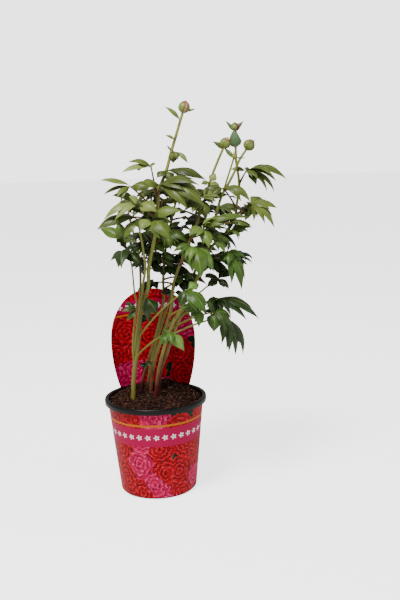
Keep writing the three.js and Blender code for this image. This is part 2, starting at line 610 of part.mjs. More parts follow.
function growFoliage() {
  for (const [name, route] of Object.entries(ROUTES)) place(route.node, stemTube(name), true);
  const sprays = allSprays();
  sprays.forEach((spray, index) => {
    spray.node = ROUTES[spray.route].node;
    const root = pointAtHeight(spray.route, spray.z);
    const draw = drawsFrom(200 + index);
    const sway = new THREE.Vector3();
    for (let tries = 1; tries < STALK_TRIES; tries += 1) {
      if (!meets(stalk(root, spray.hub, sway, CLEAR), (other) => other.node !== spray.node)) break;
      const size = 6 + tries;
      sway.set(size * (draw() - 0.5), 2 * size * (draw() - 0.5), size * (draw() - 0.5));
    }
    spray.stem = stalkRings(root, spray.hub, sway);
    spray.leaflets = [];
    place(spray.node, skinned(spray.stem));
  });
  const leaflets = sprays.flatMap((spray) => spray.tips.map((leaf) => (
    { ...leaf, hub: spray.hub, node: spray.node, spray })));
  leaflets.push(...BRACTS.map(([name, z, tip, width]) => (
    { hub: pointAtHeight(name, z), tip: at(tip), width, node: ROUTES[name].node, side: BRACT_SIDE })));
  leaflets.forEach(({ hub, tip, width, node, spray, side, outline }, index) => {
    const draw = drawsFrom(1000 + index);
    const bend = { arch: 0.34 + 0.2 * draw(), roll: 0.5 * (draw() - 0.5), side, outline };
    const shift = new THREE.Vector3();
    let chosen = null;
    for (let tries = 1; tries < BLADE_TRIES; tries += 1) {
      const end = tip.clone().add(shift);
      if (!meets(blade(hub, end, width, { ...bend, extra: CLEAR }), (other) => other.node !== node)) {
        const free = !meets(blade(hub, end, width, { ...bend, from: 0.1 }), (other) => other.node === node);
        if (chosen === null || free) chosen = end;
        if (free) break;
      }
      const size = 5 + 0.8 * tries;
      shift.set(0.5 * size * (draw() - 0.5), 2 * size * (draw() - 0.5), 0.7 * size * (draw() - 0.5));
    }
    if (chosen === null) return;
    const rings = bladeRings(hub, chosen, width, bend);
    place(node, skinned(rings), !spray);
    if (spray) spray.leaflets.push(rings);
  });
  for (const { hub, stem, leaflets: fan, node } of sprays) {
    for (const solid of spraySolids(hub, stem, fan)) place(node, solid, true);
  }
}

// The buds. Each body is an ovoid of a few overlapping scales, which swell and fade in a spiral.
function budBody(radius, height, sides, foot = 2.2) {
  const profile = [[0, foot / radius], [0.14, 0.62], [0.34, 0.95], [0.55, 1], [0.78, 0.76], [0.94, 0.34]];
  const rings = profile.map(([rise, share]) => Array.from({ length: sides }, (_, k) => {
    const angle = (2 * Math.PI * k) / sides;
    const scale = rise === 0 ? 1 : 1 + 0.07 * Math.sin(2.5 * angle + 6 * rise) ** 2;
    const r = radius * share * scale;
    return new THREE.Vector3(r * Math.cos(angle), r * Math.sin(angle), height * rise);
  }));
  return skinned([...rings, [new THREE.Vector3(0, 0, height)]]);
}

// A bract of a bud, hollow towards the bud. Its root and tip are measured from the bud's foot,
// and the side that it turns to the bud is either the bud's own axis or one that is given.
function bract({ root, tip, width, cup, side, outline }) {
  const inward = tip.clone().setZ(0).normalize().multiplyScalar(-0.8);
  const hollow = side ?? up.clone().add(inward);
  return blade(root, tip, width, { arch: -cup, fold: BRACT_FOLD, side: hollow, outline });
}

// Each bud: the route that it ends, its size, and its bracts. A hood is broad near its root.
const TO_FRONT = [0, 1, 0.3];     // the hollow of such a bract looks back, so its face looks forward
const HOOD_STATIONS = [[0, 0.3], [0.1, 0.8], [0.3, 1], [0.7, 0.62]];
const BUDS = [
  {
    route: 's1', radius: 10.2, height: 23,
    bracts: [{ tip: [24, -3, 7], width: 4, cup: 0.15, side: TO_FRONT }],
  },
  {
    route: 's3', radius: 9, height: 22,
    bracts: [
      { tip: [-19, -5, 13], width: 9, cup: 0.1, side: TO_FRONT },
      { tip: [13, -4, 10], width: 12, cup: 0.25, side: TO_FRONT },
      { tip: [20, -9, -19], width: 8, cup: 0.08, side: TO_FRONT },
    ],
  },
  {
    route: 's4', radius: 7.6, height: 16, neck: 29,
    bracts: [
      { tip: [-3, -7, 31], width: 19, cup: 0.16, side: TO_FRONT, outline: HOOD_STATIONS },
      { tip: [3, 7, 28], width: 12, cup: 0.16, outline: HOOD_STATIONS },
      { root: [-3, -3, 33], tip: [-18, -4, 49], width: 5, cup: 0.1, side: TO_FRONT },
      { root: [3, -3, 36], tip: [14, -4, 46], width: 5, cup: 0.1, side: TO_FRONT },
    ],
  },
  {
    route: 's5', radius: 10.1, height: 21.5,
    bracts: [{ tip: [15, -6, 16], width: 6, cup: 0.2, side: TO_FRONT }],
  },
  {
    route: 's5b', radius: 4.3, height: 13,
    bracts: [
      { tip: [21, -4, 1], width: 3, cup: 0.06, side: TO_FRONT },
      { tip: [-5, -3, 13], width: 5, cup: 0.2 },
    ],
  },
];
const BUD_SIDES = 10;

function makeBud({ route, radius, height, neck = 0, bracts }) {
  const line = ROUTES[route].points.map(at);
  const axis = line.at(-1).clone().sub(line.at(-2)).normalize();
  const foot = line.at(-1).clone().addScaledVector(axis, GAP);
  const lean = new THREE.Quaternion().setFromUnitVectors(up, axis);
  const turn = new THREE.Matrix4().makeRotationFromQuaternion(lean);
  const raise = new THREE.Matrix4().makeTranslation(0, 0, neck);
  let bud = moved(budBody(radius, height, BUD_SIDES), turn.clone().multiply(raise));
  const neckEnds = [new THREE.Vector3(), axis.clone().multiplyScalar(neck + 2)];
  if (neck > 0) bud = bud.add(tube(neckEnds, [3.4, 2.6], 6));
  for (const { root, tip, side, ...shape } of bracts) {
    const from = root ? at(root) : axis.clone().multiplyScalar(2.5);
    bud = bud.add(bract({ root: from, tip: at(tip), side: side && at(side), ...shape }));
  }
  return { bud, foot };
}

// A solid moved by a matrix
function moved(solid, matrix) {
  return solidOf(geometryOf(solid).applyMatrix4(matrix));
}

// Materials
const paint = (color, roughness) => new THREE.MeshStandardMaterial({ color, roughness, metalness: 0 });
const potPlastic = paint(0x17181a, 0.42);
const peat = paint(0x2e2019, 0.95);
const printedCard = paint(0xc4203f, 0.4);
const leafGreen = paint(0x4a6327, 0.45);
const budGreen = paint(0x8c9a55, 0.5);

const part = new THREE.Group();

function addNode(name, solid, material, position = new THREE.Vector3()) {
  const mesh = new THREE.Mesh(geometryOf(solid), material);
  mesh.name = name;
  mesh.position.copy(position);
  part.add(mesh);
}

growFoliage();
let soil = makeSoil();
for (const [name, route] of Object.entries(ROUTES)) {
  if (!route.branch) soil = soil.subtract(stemTube(name, GAP + 0.2));
}
addNode('pot', makePot(), potPlastic);
addNode('soil', soil, peat);
addNode('printed_sleeve', makeSleeve(), printedCard);
const stemCount = Math.max(...Object.values(ROUTES).map((route) => route.node));
for (let node = 1; node <= stemCount; node += 1) {
  const mine = placed.filter((item) => item.final && item.node === node).map((item) => item.solid);
  addNode(`leafy_stem_${node}`, joined(mine), leafGreen);
}
BUDS.forEach((spec, i) => {
  const { bud, foot } = makeBud(spec);
  addNode(`bud_${i + 1}`, joined([bud]), budGreen, foot);
});

export default part;
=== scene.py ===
# %% [markdown]
# A herbaceous peony in bud, in its nursery pot with a printed sleeve.
# The solids of the plant and the pot already exist, so this lesson dresses them: it makes a finer
# mesh for each solid, in the same place and of the same form, and gives each one its finish.
# Z is up, the origin is the centre of the pot's underside, the picture card stands on the +Y side,
# and the camera looks along +Y.

# %% Tools and frame
import math

import bmesh
import bpy
import numpy as np
from mathutils import Matrix, Vector, kdtree, noise


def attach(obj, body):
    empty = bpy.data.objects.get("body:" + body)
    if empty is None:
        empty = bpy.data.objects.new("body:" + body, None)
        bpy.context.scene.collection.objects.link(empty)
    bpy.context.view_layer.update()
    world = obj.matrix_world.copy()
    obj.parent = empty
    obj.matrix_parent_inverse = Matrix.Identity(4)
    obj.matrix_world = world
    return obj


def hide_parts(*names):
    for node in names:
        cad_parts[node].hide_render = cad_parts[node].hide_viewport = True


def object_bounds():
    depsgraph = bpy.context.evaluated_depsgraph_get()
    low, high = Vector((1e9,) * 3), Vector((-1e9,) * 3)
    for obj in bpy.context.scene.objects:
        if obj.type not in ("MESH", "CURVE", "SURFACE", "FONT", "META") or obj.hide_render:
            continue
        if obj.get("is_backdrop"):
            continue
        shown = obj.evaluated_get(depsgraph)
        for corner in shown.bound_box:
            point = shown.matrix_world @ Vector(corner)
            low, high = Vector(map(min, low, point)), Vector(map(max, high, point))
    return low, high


MM = 0.001
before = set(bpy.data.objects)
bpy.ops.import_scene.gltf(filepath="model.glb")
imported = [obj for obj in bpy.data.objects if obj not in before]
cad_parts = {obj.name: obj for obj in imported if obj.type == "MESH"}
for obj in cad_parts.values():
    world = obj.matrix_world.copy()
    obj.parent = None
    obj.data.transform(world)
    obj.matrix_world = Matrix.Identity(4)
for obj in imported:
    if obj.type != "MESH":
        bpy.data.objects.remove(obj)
cad_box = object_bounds()
print("solids:", len(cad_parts), "box:", cad_box)

# %% [markdown]
# A plant can be modelled by hand in Edit Mode, or grown from curves and modifiers. Here each mesh is
# worked out in millimetres as lists of points and faces, because that follows the solids' numbers.
# One helper turns the lists into an object, smooths its shading except across sharp edges, and
# stores facts about each point, which the materials read later. A heap collects many small shapes
# that become one piece.

# %% Making a piece
def piece(name, points, faces, material, facts=None, sharp=50):
    """An object from points in mm. Edges that turn by more than that many degrees stay crisp."""
    mesh = bpy.data.meshes.new(name)
    mesh.from_pydata((np.asarray(points, float) * MM).tolist(), [], [list(f) for f in faces])
    mesh.validate()
    mesh.shade_smooth()
    mesh.set_sharp_from_angle(angle=math.radians(sharp))
    for fact, values in (facts or {}).items():
        values = np.asarray(values, np.float32)
        kind, field = ("FLOAT", "value") if values.ndim == 1 else ("FLOAT_VECTOR", "vector")
        mesh.attributes.new(fact, kind, "POINT").data.foreach_set(field, values.ravel())
    mesh.materials.append(material)
    obj = bpy.data.objects.new(name, mesh)
    bpy.context.scene.collection.objects.link(obj)
    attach(obj, "root")
    print(name, len(mesh.polygons), "faces")
    return obj


# %% A heap of small shapes
class Heap:
    """Points, faces and facts of many small shapes that become one piece."""

    def __init__(self, *facts):
        self.points = []
        self.faces = []
        self.facts = {fact: [] for fact in facts}

    def put(self, points, faces, **facts):
        start = len(self.points)
        self.points.extend(np.asarray(points, float).tolist())
        self.faces.extend([[start + i for i in face] for face in faces])
        for fact, values in facts.items():
            values = np.broadcast_to(values, (len(points),) + np.shape(values)[1:])
            self.facts[fact].extend(np.asarray(values, float).tolist())

    def made(self, name, material, sharp=50):
        return piece(name, self.points, self.faces, material, self.facts, sharp)


# %% [markdown]
# Materials are node trees. They can be wired in the Shader Editor, but written out, every value can
# be read and changed. One helper adds a node to the tree at hand, with its settings and links, and
# gives back one of its outputs. Colours are written as they look on a screen, in sRGB hex, and
# turned to linear light.

# %% Material helpers
def linear(code):
    parts = [int(code[i : i + 2], 16) / 255 for i in (1, 3, 5)]
    return tuple(c / 12.92 if c <= 0.04045 else ((c + 0.055) / 1.055) ** 2.4 for c in parts) + (1.0,)


def material(name):
    made = bpy.data.materials.new(name)
    made.use_nodes = True
    print("material:", name)
    return made, made.node_tree, made.node_tree.nodes["Principled BSDF"]


def plug(node, inputs):
    """Links the inputs that are given an output of another node, and sets the rest."""
    for key, value in inputs.items():
        if isinstance(value, bpy.types.NodeSocket):
            tree.links.new(value, node.inputs[key])
        else:
            node.inputs[key].default_value = value


def add(kind, *inputs, out=0, stops=(), **settings):
    """Adds a node, a Math node where the kind is in capitals. Inputs come in order or by name."""
    if kind.isupper():
        kind, settings["operation"] = "Math", kind
    made = tree.nodes.new("ShaderNode" + kind)
    for name, value in settings.items():
        setattr(made, name, value)
    for _ in stops[2:]:
        made.color_ramp.elements.new(1.0)
    for i, (place, code) in enumerate(stops):
        made.color_ramp.elements[i].position = place
        made.color_ramp.elements[i].color = linear(code)
    named = inputs and isinstance(inputs[0], dict)
    plug(made, inputs[0] if named else dict(enumerate(inputs)))
    return made.outputs[out]


# %% [markdown]
# The photograph was taken from a little above the plant, with a long lens. The camera repeats that
# view: 1.45 m away, 0.6 m up, tilted down by about ten degrees, and rolled by less than two.

# %% Camera
VIEW_FROM = (88.7, -1448.9, 606.6)
TILT_DOWN = 0.172       # in radians, as the roll is
ROLL = -0.031
camera_data = bpy.data.cameras.new("camera")
camera_data.lens = 48
camera_data.sensor_width = 36
camera_data.clip_end = 100
camera = bpy.data.objects.new("camera", camera_data)
bpy.context.scene.collection.objects.link(camera)
tilted = Matrix.Rotation(math.pi / 2 - TILT_DOWN, 4, "X")
camera.matrix_world = Matrix.Translation(Vector(VIEW_FROM) * MM) @ tilted @ Matrix.Rotation(ROLL, 4, "Z")
bpy.context.scene.camera = camera
print("camera:", camera.matrix_world)

# %% [markdown]
# The light is soft and even, as in a studio: a pale sky all round, a broad lamp high on the left in
# front, and a weaker one on the right so that no side goes black. A white sky as bright as it looks
# in the photograph would wash out the leaves, so it looks brighter to the camera than it shines.

# %% Light
LAMPS_AIM = (0.05, 0, 0.35)
SKY_LIGHT = 0.42        # what the sky sheds on the plant
SKY_SEEN = 3.0          # how bright it looks itself
WHITE = (1.0, 1.0, 1.0, 1)


def lamp(name, place, size, watts, tint):
    data = bpy.data.lights.new(name, "AREA")
    data.shape = "DISK"
    data.size = size
    data.energy = watts
    data.color = tint
    obj = bpy.data.objects.new(name, data)
    bpy.context.scene.collection.objects.link(obj)
    obj.location = place
    obj.rotation_euler = (Vector(LAMPS_AIM) - Vector(place)).to_track_quat("-Z", "Y").to_euler()
    print(name, watts, "W")


lamp("key_lamp", (-0.7, -1.3, 2.8), 1.0, 125, (1.0, 0.98, 0.94))
lamp("side_lamp", (2.2, -0.9, 1.2), 1.4, 14, (0.94, 0.97, 1.0))
world = bpy.data.worlds.new("pale_sky")
bpy.context.scene.world = world
world.use_nodes = True
tree = world.node_tree
seen = add("LightPath", out="Is Camera Ray")
brightness = add("MULTIPLY_ADD", seen, SKY_SEEN - SKY_LIGHT, SKY_LIGHT)
plug(tree.nodes["Background"], {"Color": WHITE, "Strength": brightness})

# %% [markdown]
# The floor is a wide white disc. It isn't part of the object. It is over-lit to the eye, as the
# floor of a studio is, so that it runs into the white behind it, and only the shadow shows on it.

# %% Floor
FLOOR_GLARE = 2.25
FLOOR_REACH = 30        # in metres
FLOOR_DEPTH = 0.0002
FLOOR_SIDES = 96
white_floor, tree, shader = material("white_floor")
glare = add("MULTIPLY", add("LightPath", out="Is Camera Ray"), FLOOR_GLARE)
plug(shader, {"Base Color": linear("#f4f4f3"), "Roughness": 0.9, "Emission Color": WHITE,
              "Emission Strength": glare})
turns = [math.tau * k / FLOOR_SIDES for k in range(FLOOR_SIDES)]
edge_points = [(FLOOR_REACH * math.cos(a), FLOOR_REACH * math.sin(a), -FLOOR_DEPTH) for a in turns]
floor_mesh = bpy.data.meshes.new("floor")
floor_mesh.from_pydata(edge_points, [], [list(range(FLOOR_SIDES))])
floor_mesh.materials.append(white_floor)
floor = bpy.data.objects.new("floor", floor_mesh)
bpy.context.scene.collection.objects.link(floor)
floor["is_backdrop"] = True

# %% [markdown]
# The pot is polypropylene, injection moulded in black. It has the satin gloss of the mould, and an
# orange-peel unevenness of a few millimetres that breaks its highlights a little. That is too
# shallow to model, so a bump from fine noise stands for it.

# %% Moulded black polypropylene
PEEL_MM = 2.5
black_polypropylene, tree, shader = material("black_polypropylene")
spot = add("TexCoord", out="Object")
peel = add("TexNoise", {"Vector": spot, "Scale": 1 / (PEEL_MM * MM), "Detail": 2.0})
bump = add("Bump", {"Height": peel, "Strength": 0.06, "Distance": 0.0004})
plug(shader, {"Base Color": linear("#050506"), "Roughness": 0.36, "IOR": 1.49,
              "Specular IOR Level": 0.22, "Normal": bump})

# %% [markdown]
# Potting peat is a loose mass of dark fibres and crumbs. It has no gloss at all, and its colour
# wanders between nearly black where it is damp and a warm brown where it has dried. Noise of the
# size of a crumb gives both the colour and the relief.

# %% Damp peat
CRUMB_MM = 4.5
damp_peat, tree, shader = material("damp_peat")
spot = add("TexCoord", out="Object")
crumb = add("TexNoise", {"Vector": spot, "Scale": 1 / (CRUMB_MM * MM), "Detail": 5.0, "Roughness": 0.7})
PEAT_BROWNS = [(0.36, "#080404"), (0.48, "#1c0f0b"), (0.58, "#43261b"), (0.7, "#6e4833")]
shade = add("ValToRGB", crumb, stops=PEAT_BROWNS)
bump = add("Bump", {"Height": crumb, "Strength": 0.8, "Distance": 0.002})
plug(shader, {"Base Color": shade, "Roughness": 0.95, "Specular IOR Level": 0.15, "Normal": bump})

# %% [markdown]
# The fibres in the peat are dry plant threads, paler than the crumbs: straw and thin roots. Each
# has one tone along its length, so a fact that is stored with its points chooses its colour.

# %% Dry straw
dry_straw, tree, shader = material("dry_straw")
tone = add("Attribute", attribute_name="tone", out="Fac")
shade = add("ValToRGB", tone, stops=[(0.0, "#3a2417"), (0.6, "#61442e"), (1.0, "#94754f")])
plug(shader, {"Base Color": shade, "Roughness": 0.75})

# %% [markdown]
# The sleeve is a coated card with an offset print under a thin varnish. A print can come from an
# image file, but this lesson uses none, so nodes draw a plain field of garden blooms: round rosettes
# in reds and pinks with dark leaves between them. A Voronoi texture gives each bloom its centre.
# From the distance and the angle to that centre, a few sums draw rings of scalloped petals.

# %% Printed card: rings of petals
BLOOM_MM = 44
PETAL_MM = 7.5
PETALS_ROUND = 7
BENT_MM = 14            # how far noise pushes the rosettes out of round
printed_card, tree, shader = material("printed_card")
spot = add("Attribute", attribute_name="print_mm", out="Vector")
wander = add("TexNoise", {"Vector": spot, "Scale": 0.16, "Detail": 4.0}, out="Color")
shift = add("VectorMath", wander, (0.5, 0.5, 0.5), operation="SUBTRACT")
bent = add("VectorMath", shift, (BENT_MM, BENT_MM, 0), spot, operation="MULTIPLY_ADD")
scaled = add("VectorMath", {0: bent, "Scale": 1 / BLOOM_MM}, operation="SCALE")
blooms = add("TexVoronoi", {"Vector": scaled, "Scale": 1.0, "Randomness": 0.85}, voronoi_dimensions="2D")
bloom = blooms.node.outputs
arm = add("VectorMath", scaled, bloom["Position"], operation="SUBTRACT")
arm_x, arm_y, _ = add("SeparateXYZ", arm).node.outputs
own = add("SeparateColor", bloom["Color"]).node.outputs
angle = add("ARCTAN2", arm_y, arm_x)
row = add("MULTIPLY", bloom["Distance"], BLOOM_MM / PETAL_MM)
own_turn = add("MULTIPLY", own[0], 6.0)
row_turn = add("MULTIPLY_ADD", add("FLOOR", row), 1.9, own_turn)
wave = add("SINE", add("MULTIPLY_ADD", angle, PETALS_ROUND / 2, row_turn))
scallop = add("MULTIPLY_ADD", add("POWER", add("ABSOLUTE", wave), 0.6), 0.6, 0.4)
lip = add("MULTIPLY", add("FRACT", row), scallop)
print("nodes for the petals:", len(tree.nodes))

# %% [markdown]
# A petal is light at its lip and dark where it tucks in, with the grain of a photograph. So a ramp
# turns how far out on its petal a point lies into a red or, for some blooms, a pink. What lies far
# from every centre is leaf.

# %% Printed card: colours of the blooms
BLEND = {"data_type": "RGBA", "out": "Result"}      # what makes a Mix node mix colours
BETWEEN_BLOOMS = 0.67   # beyond this share of a bloom from its centre, leaves show
PINK_FROM = 0.62
REDS = [(0.0, "#2c0004"), (0.25, "#7c000c"), (0.6, "#b80014"), (0.85, "#c40828"), (1.0, "#d63a54")]
PINKS = [(0.0, "#5c0028"), (0.3, "#ac003e"), (0.65, "#c80850"), (1.0, "#e25488")]
LEAF_GREENS = [(0.35, "#050b08"), (0.55, "#12261a"), (0.75, "#2f4c38")]
grain = add("TexNoise", {"Vector": spot, "Scale": 0.35, "Detail": 3.0})
lit = add("MULTIPLY_ADD", add("SUBTRACT", grain, 0.5), 0.9, lip)
is_pink = add("GREATER_THAN", own[1], PINK_FROM)
red = add("ValToRGB", lit, stops=REDS)
pink = add("ValToRGB", lit, stops=PINKS)
petals = add("Mix", {"Factor": is_pink, "A": red, "B": pink}, **BLEND)
between = add("GREATER_THAN", bloom["Distance"], BETWEEN_BLOOMS)
cloud = add("TexNoise", {"Vector": scaled, "Scale": 9.0, "Detail": 2.0})
foliage = add("ValToRGB", cloud, stops=LEAF_GREENS)
picture = add("Mix", {"Factor": between, "A": petals, "B": foliage}, **BLEND)
print("nodes with the colours:", len(tree.nodes))

# %% [markdown]
# A magenta band and a thin gold stripe follow the height of the print. Each is a mask that is one
# between two heights, laid over the picture. White blossoms stand at even steps along the band:
# the distance to a blossom's middle is held against an edge that swings in and out five times.

# %% The bands of the print
MAGENTA, WHITE_BLOSSOM, GOLD = [linear(code) for code in ("#a20042", "#f6e3ea", "#b86414")]
BANDS = [(104, 139), (318, 341)]        # low and high edge, on the pot and on the card
STRIPES = [(142, 146), (312, 315)]
BLOSSOM_STEP = 15
BLOSSOM_REACH = 5.5
BLOSSOM_EYE = 1.2
run, height, _ = add("SeparateXYZ", spot).node.outputs


def strip(low, high):
    return add("MULTIPLY", add("GREATER_THAN", height, low), add("LESS_THAN", height, high))


step_share = add("FRACT", add("DIVIDE", run, BLOSSOM_STEP))
aside = add("SUBTRACT", add("MULTIPLY", step_share, BLOSSOM_STEP), BLOSSOM_STEP / 2)
for low, high in BANDS:
    picture = add("Mix", {"Factor": strip(low, high), "A": picture, "B": MAGENTA}, **BLEND)
    rise = add("SUBTRACT", height, (low + high) / 2)
    squares = add("ADD", add("MULTIPLY", aside, aside), add("MULTIPLY", rise, rise))
    reach = add("SQRT", squares)
    swing = add("COSINE", add("MULTIPLY", add("ARCTAN2", rise, aside), 5.0))
    edge = add("MULTIPLY_ADD", swing, 0.28 * BLOSSOM_REACH, 0.72 * BLOSSOM_REACH)
    ring = add("MULTIPLY", add("LESS_THAN", reach, edge), add("GREATER_THAN", reach, BLOSSOM_EYE))
    picture = add("Mix", {"Factor": ring, "A": picture, "B": WHITE_BLOSSOM}, **BLEND)
for low, high in STRIPES:
    picture = add("Mix", {"Factor": strip(low, high), "A": picture, "B": GOLD}, **BLEND)
plug(shader, {"Base Color": picture, "Roughness": 0.42, "IOR": 1.45, "Specular IOR Level": 0.12})
print("nodes of the whole print:", len(tree.nodes))

# %% [markdown]
# A peony leaflet is dark, leathery and waxed above, and pale and matt beneath. A midrib and side
# veins show paler. Light also passes through it, which a translucent share gives. The leaves of the
# crown are olive, and those lower down are a truer green, painted darker as well: painted shade.
# Each leaflet also has a tone of its own, and noise the size of a fingertip mottles it. One colour
# for all would look like paint.

# %% Mottled facts
def mottled(fact, mm, share):
    """A fact that noise of that size in mm shifts by up to half that share either way."""
    spot = add("TexCoord", out="Object")
    cloud = add("TexNoise", {"Vector": spot, "Scale": 1 / (mm * MM), "Detail": 3.0})
    known = add("Attribute", attribute_name=fact, out="Fac")
    return add("MULTIPLY_ADD", add("SUBTRACT", cloud, 0.5), share, known)


# %% Peony leaf
CROWN_GREENS = [(0.05, "#2a3210"), (0.35, "#46541c"), (0.65, "#69762e"), (0.95, "#8b9850")]
# The lower leaves: a truer green, and darker as painted shade
SHADE_GREENS = [(0.05, "#131f09"), (0.35, "#2a4412"), (0.65, "#446a1e"), (0.95, "#6f9644")]
UNDER_GREENS = [(0.1, "#3c4624"), (0.9, "#6f7a46")]
SIDE_VEINS = 7.0
VEIN_SLANT = -0.42
MIDRIB_HALF = 0.06      # as a share of the blade's half width
THROUGH = 0.2           # how much light passes through
peony_leaf, tree, shader = material("peony_leaf")
tone = mottled("tone", 16.67, 0.5)
below = add("Attribute", attribute_name="below", out="Fac")
# How low a leaf sits: it picks the truer green and the painted shade of the lower leaves
dusk = add("Attribute", attribute_name="dusk", out="Fac")
blade_place = add("Attribute", attribute_name="blade_place", out="Vector")
off_side, along_rib, _ = add("SeparateXYZ", blade_place).node.outputs
off_rib = add("ABSOLUTE", off_side)
crown, shade, under = [
    add("ValToRGB", tone, stops=stops) for stops in (CROWN_GREENS, SHADE_GREENS, UNDER_GREENS)
]
# Lower leaves take the darker ramp: painted shade, with a truer green
upper = add("Mix", {"Factor": dusk, "A": crown, "B": shade}, **BLEND)
skin = add("Mix", {"Factor": below, "A": upper, "B": under}, **BLEND)
slanted = add("MULTIPLY_ADD", off_rib, VEIN_SLANT, along_rib)
vein_wave = add("SINE", add("MULTIPLY", slanted, math.tau * SIDE_VEINS))
side_vein = add("MULTIPLY", add("GREATER_THAN", vein_wave, 0.94), 0.05)
midrib = add("MULTIPLY", add("LESS_THAN", off_rib, MIDRIB_HALF), 0.4)
vein = add("MAXIMUM", side_vein, midrib)
veined = add("Mix", {"Factor": vein, "A": skin, "B": linear("#94a050")}, **BLEND)
bump = add("Bump", {"Height": vein_wave, "Strength": 0.12, "Distance": 0.0006})
waxed = add("MULTIPLY_ADD", below, 0.25, 0.4)
plug(shader, {"Base Color": veined, "Roughness": waxed, "IOR": 1.42, "Normal": bump})
glow = add("BsdfTranslucent", {"Color": veined})
mixed = add("MixShader", THROUGH, shader.outputs[0], glow)
plug(tree.nodes["Material Output"], {"Surface": mixed})

# %% [markdown]
# The stems are smooth and juicy. They leave the soil dark red, turn brown, then olive, and end a
# fresh green, so the colour follows a fact that runs from 0 at the soil to 1 at the top. Where they
# run through the foliage the olive is darker: painted shade.

# %% Peony stem
# The darker olive up to about 0.75 is painted shade where the stems run through the foliage
STEM_COLOURS_AND_SHADE = [
    (0.0, "#300810"), (0.1, "#54161a"), (0.2, "#684422"), (0.32, "#776c2a"), (0.5, "#6f6c28"),
    (0.75, "#626626"), (1.0, "#83863a"),
]
peony_stem, tree, shader = material("peony_stem")
stem_colour_and_shade = add("ValToRGB", mottled("ripe", 11.11, 0.25), stops=STEM_COLOURS_AND_SHADE)
plug(shader, {"Base Color": stem_colour_and_shade, "Roughness": 0.42, "IOR": 1.42})

# %% [markdown]
# A closed bud is wrapped in smooth sepals, green with a bloom of grey, and edged with brown-red
# where they overlap. Between them the petals show, pink to dark red. One material serves both: the
# fact "edge" runs from 0 in the middle of a sepal to its edge, and above 0.94 it means a petal.

# %% Bud sepal
SEPAL_GREENS = [(0.0, "#5f7d58"), (0.25, "#4a6130"), (0.6, "#74883a"), (1.0, "#a3a84e")]
PETAL_REDS = [(0.95, "#c9987e"), (0.975, "#a85c4c"), (1.0, "#6a1630")]
bud_sepal, tree, shader = material("bud_sepal")
edge = add("Attribute", attribute_name="edge", out="Fac")
green = add("ValToRGB", mottled("tone", 3.846, 0.35), stops=SEPAL_GREENS)
edging = add("MINIMUM", add("MULTIPLY", edge, 1.6), 1.0)
edged = add("Mix", {"Factor": edging, "A": green, "B": linear("#6a4026")}, **BLEND)
is_petal = add("GREATER_THAN", edge, 0.94)
petal = add("ValToRGB", edge, stops=PETAL_REDS)
bud_colour = add("Mix", {"Factor": is_petal, "A": edged, "B": petal}, **BLEND)
plug(shader, {"Base Color": bud_colour, "Roughness": 0.45, "IOR": 1.42})

# %% [markdown]
# The pot is a body of revolution, so a lathe makes it: a profile of radius and height, turned about
# the Z axis. A Screw modifier could turn it too, but the soil, the stems and the buds are also rings
# of points that follow one another, so the same helpers make them all. The profile repeats the
# solid's, with its corners rounded off.

# %% Rings of points
def circle(radius, z, sides):
    turns = np.arange(sides) * math.tau / sides
    return np.stack([radius * np.cos(turns), radius * np.sin(turns), np.full(sides, float(z))], axis=1)


def ring_faces(rings, sides):
    return [
        (i * sides + k, i * sides + (k + 1) % sides, (i + 1) * sides + (k + 1) % sides, (i + 1) * sides + k)
        for i in range(rings - 1)
        for k in range(sides)
    ]


def capped(rings):
    """Points and faces of a body of rings with a flat face at each end."""
    sides, count = len(rings[0]), len(rings) * len(rings[0])
    ends = [list(range(sides))[::-1], list(range(count - sides, count))]
    return np.concatenate(rings), ring_faces(len(rings), sides) + ends


def centred(rings, low, high):
    """Points and faces of a body of rings with a centre point at each end."""
    sides, count = len(rings[0]), len(rings) * len(rings[0])
    faces = ring_faces(len(rings), sides)
    for k in range(sides):
        after = (k + 1) % sides
        faces += [(count, after, k), (count + 1, count - sides + k, count - sides + after)]
    return np.vstack([*rings, low, high]), faces


# %% Pot
POT_HEIGHT = 177
POT_BASE_RADIUS = 70
POT_NECK_RADIUS = 87.6
POT_RIM_RADIUS = 95
POT_RIM_DEPTH = 10
POT_WALL = 1.5
POT_FLOOR = 2
GAP = 0.3               # what the solids leave between two parts
LIP = POT_HEIGHT - POT_RIM_DEPTH
ROUND_SIDES = 120
RIM_ROLL = [            # how far in from the rim's radius, and how far below its top
    (1.9, 4), (1.7, 4.3), (1.7, 9.6), (1.4, 10), (0.5, 10), (0.2, 9.5), (0, 3), (0.3, 1.6),
    (1.2, 0.5), (2.4, 0), (3.6, 0),
]


def wall_radius(z):
    return POT_BASE_RADIUS + (POT_NECK_RADIUS - POT_BASE_RADIUS) * z / LIP


neck = wall_radius(LIP)
pot_profile = [
    (POT_BASE_RADIUS - 2.5, 0), (POT_BASE_RADIUS - 0.9, 0.5), (wall_radius(3), 3), (wall_radius(90), 90),
    (neck, LIP), (neck + 0.3, POT_HEIGHT - 4),
    *[(POT_RIM_RADIUS - inward, POT_HEIGHT - down) for inward, down in RIM_ROLL],
    (neck + 0.6, POT_HEIGHT - 0.9), (neck - 0.6, POT_HEIGHT - 2.6), (neck - POT_WALL, LIP),
    (wall_radius(POT_FLOOR) - POT_WALL, POT_FLOOR),
]
rings = [circle(r, z, ROUND_SIDES) for r, z in pot_profile]
pot = piece("pot_shell", *centred(rings, (0, 0, 0), (0, 0, POT_FLOOR)), black_polypropylene, sharp=35)

# %% [markdown]
# The real pot drains through holes that the mould leaves open. They could be part of the mesh, but
# a Boolean modifier cuts them more simply: eight cylinders are taken away, and the result is kept.

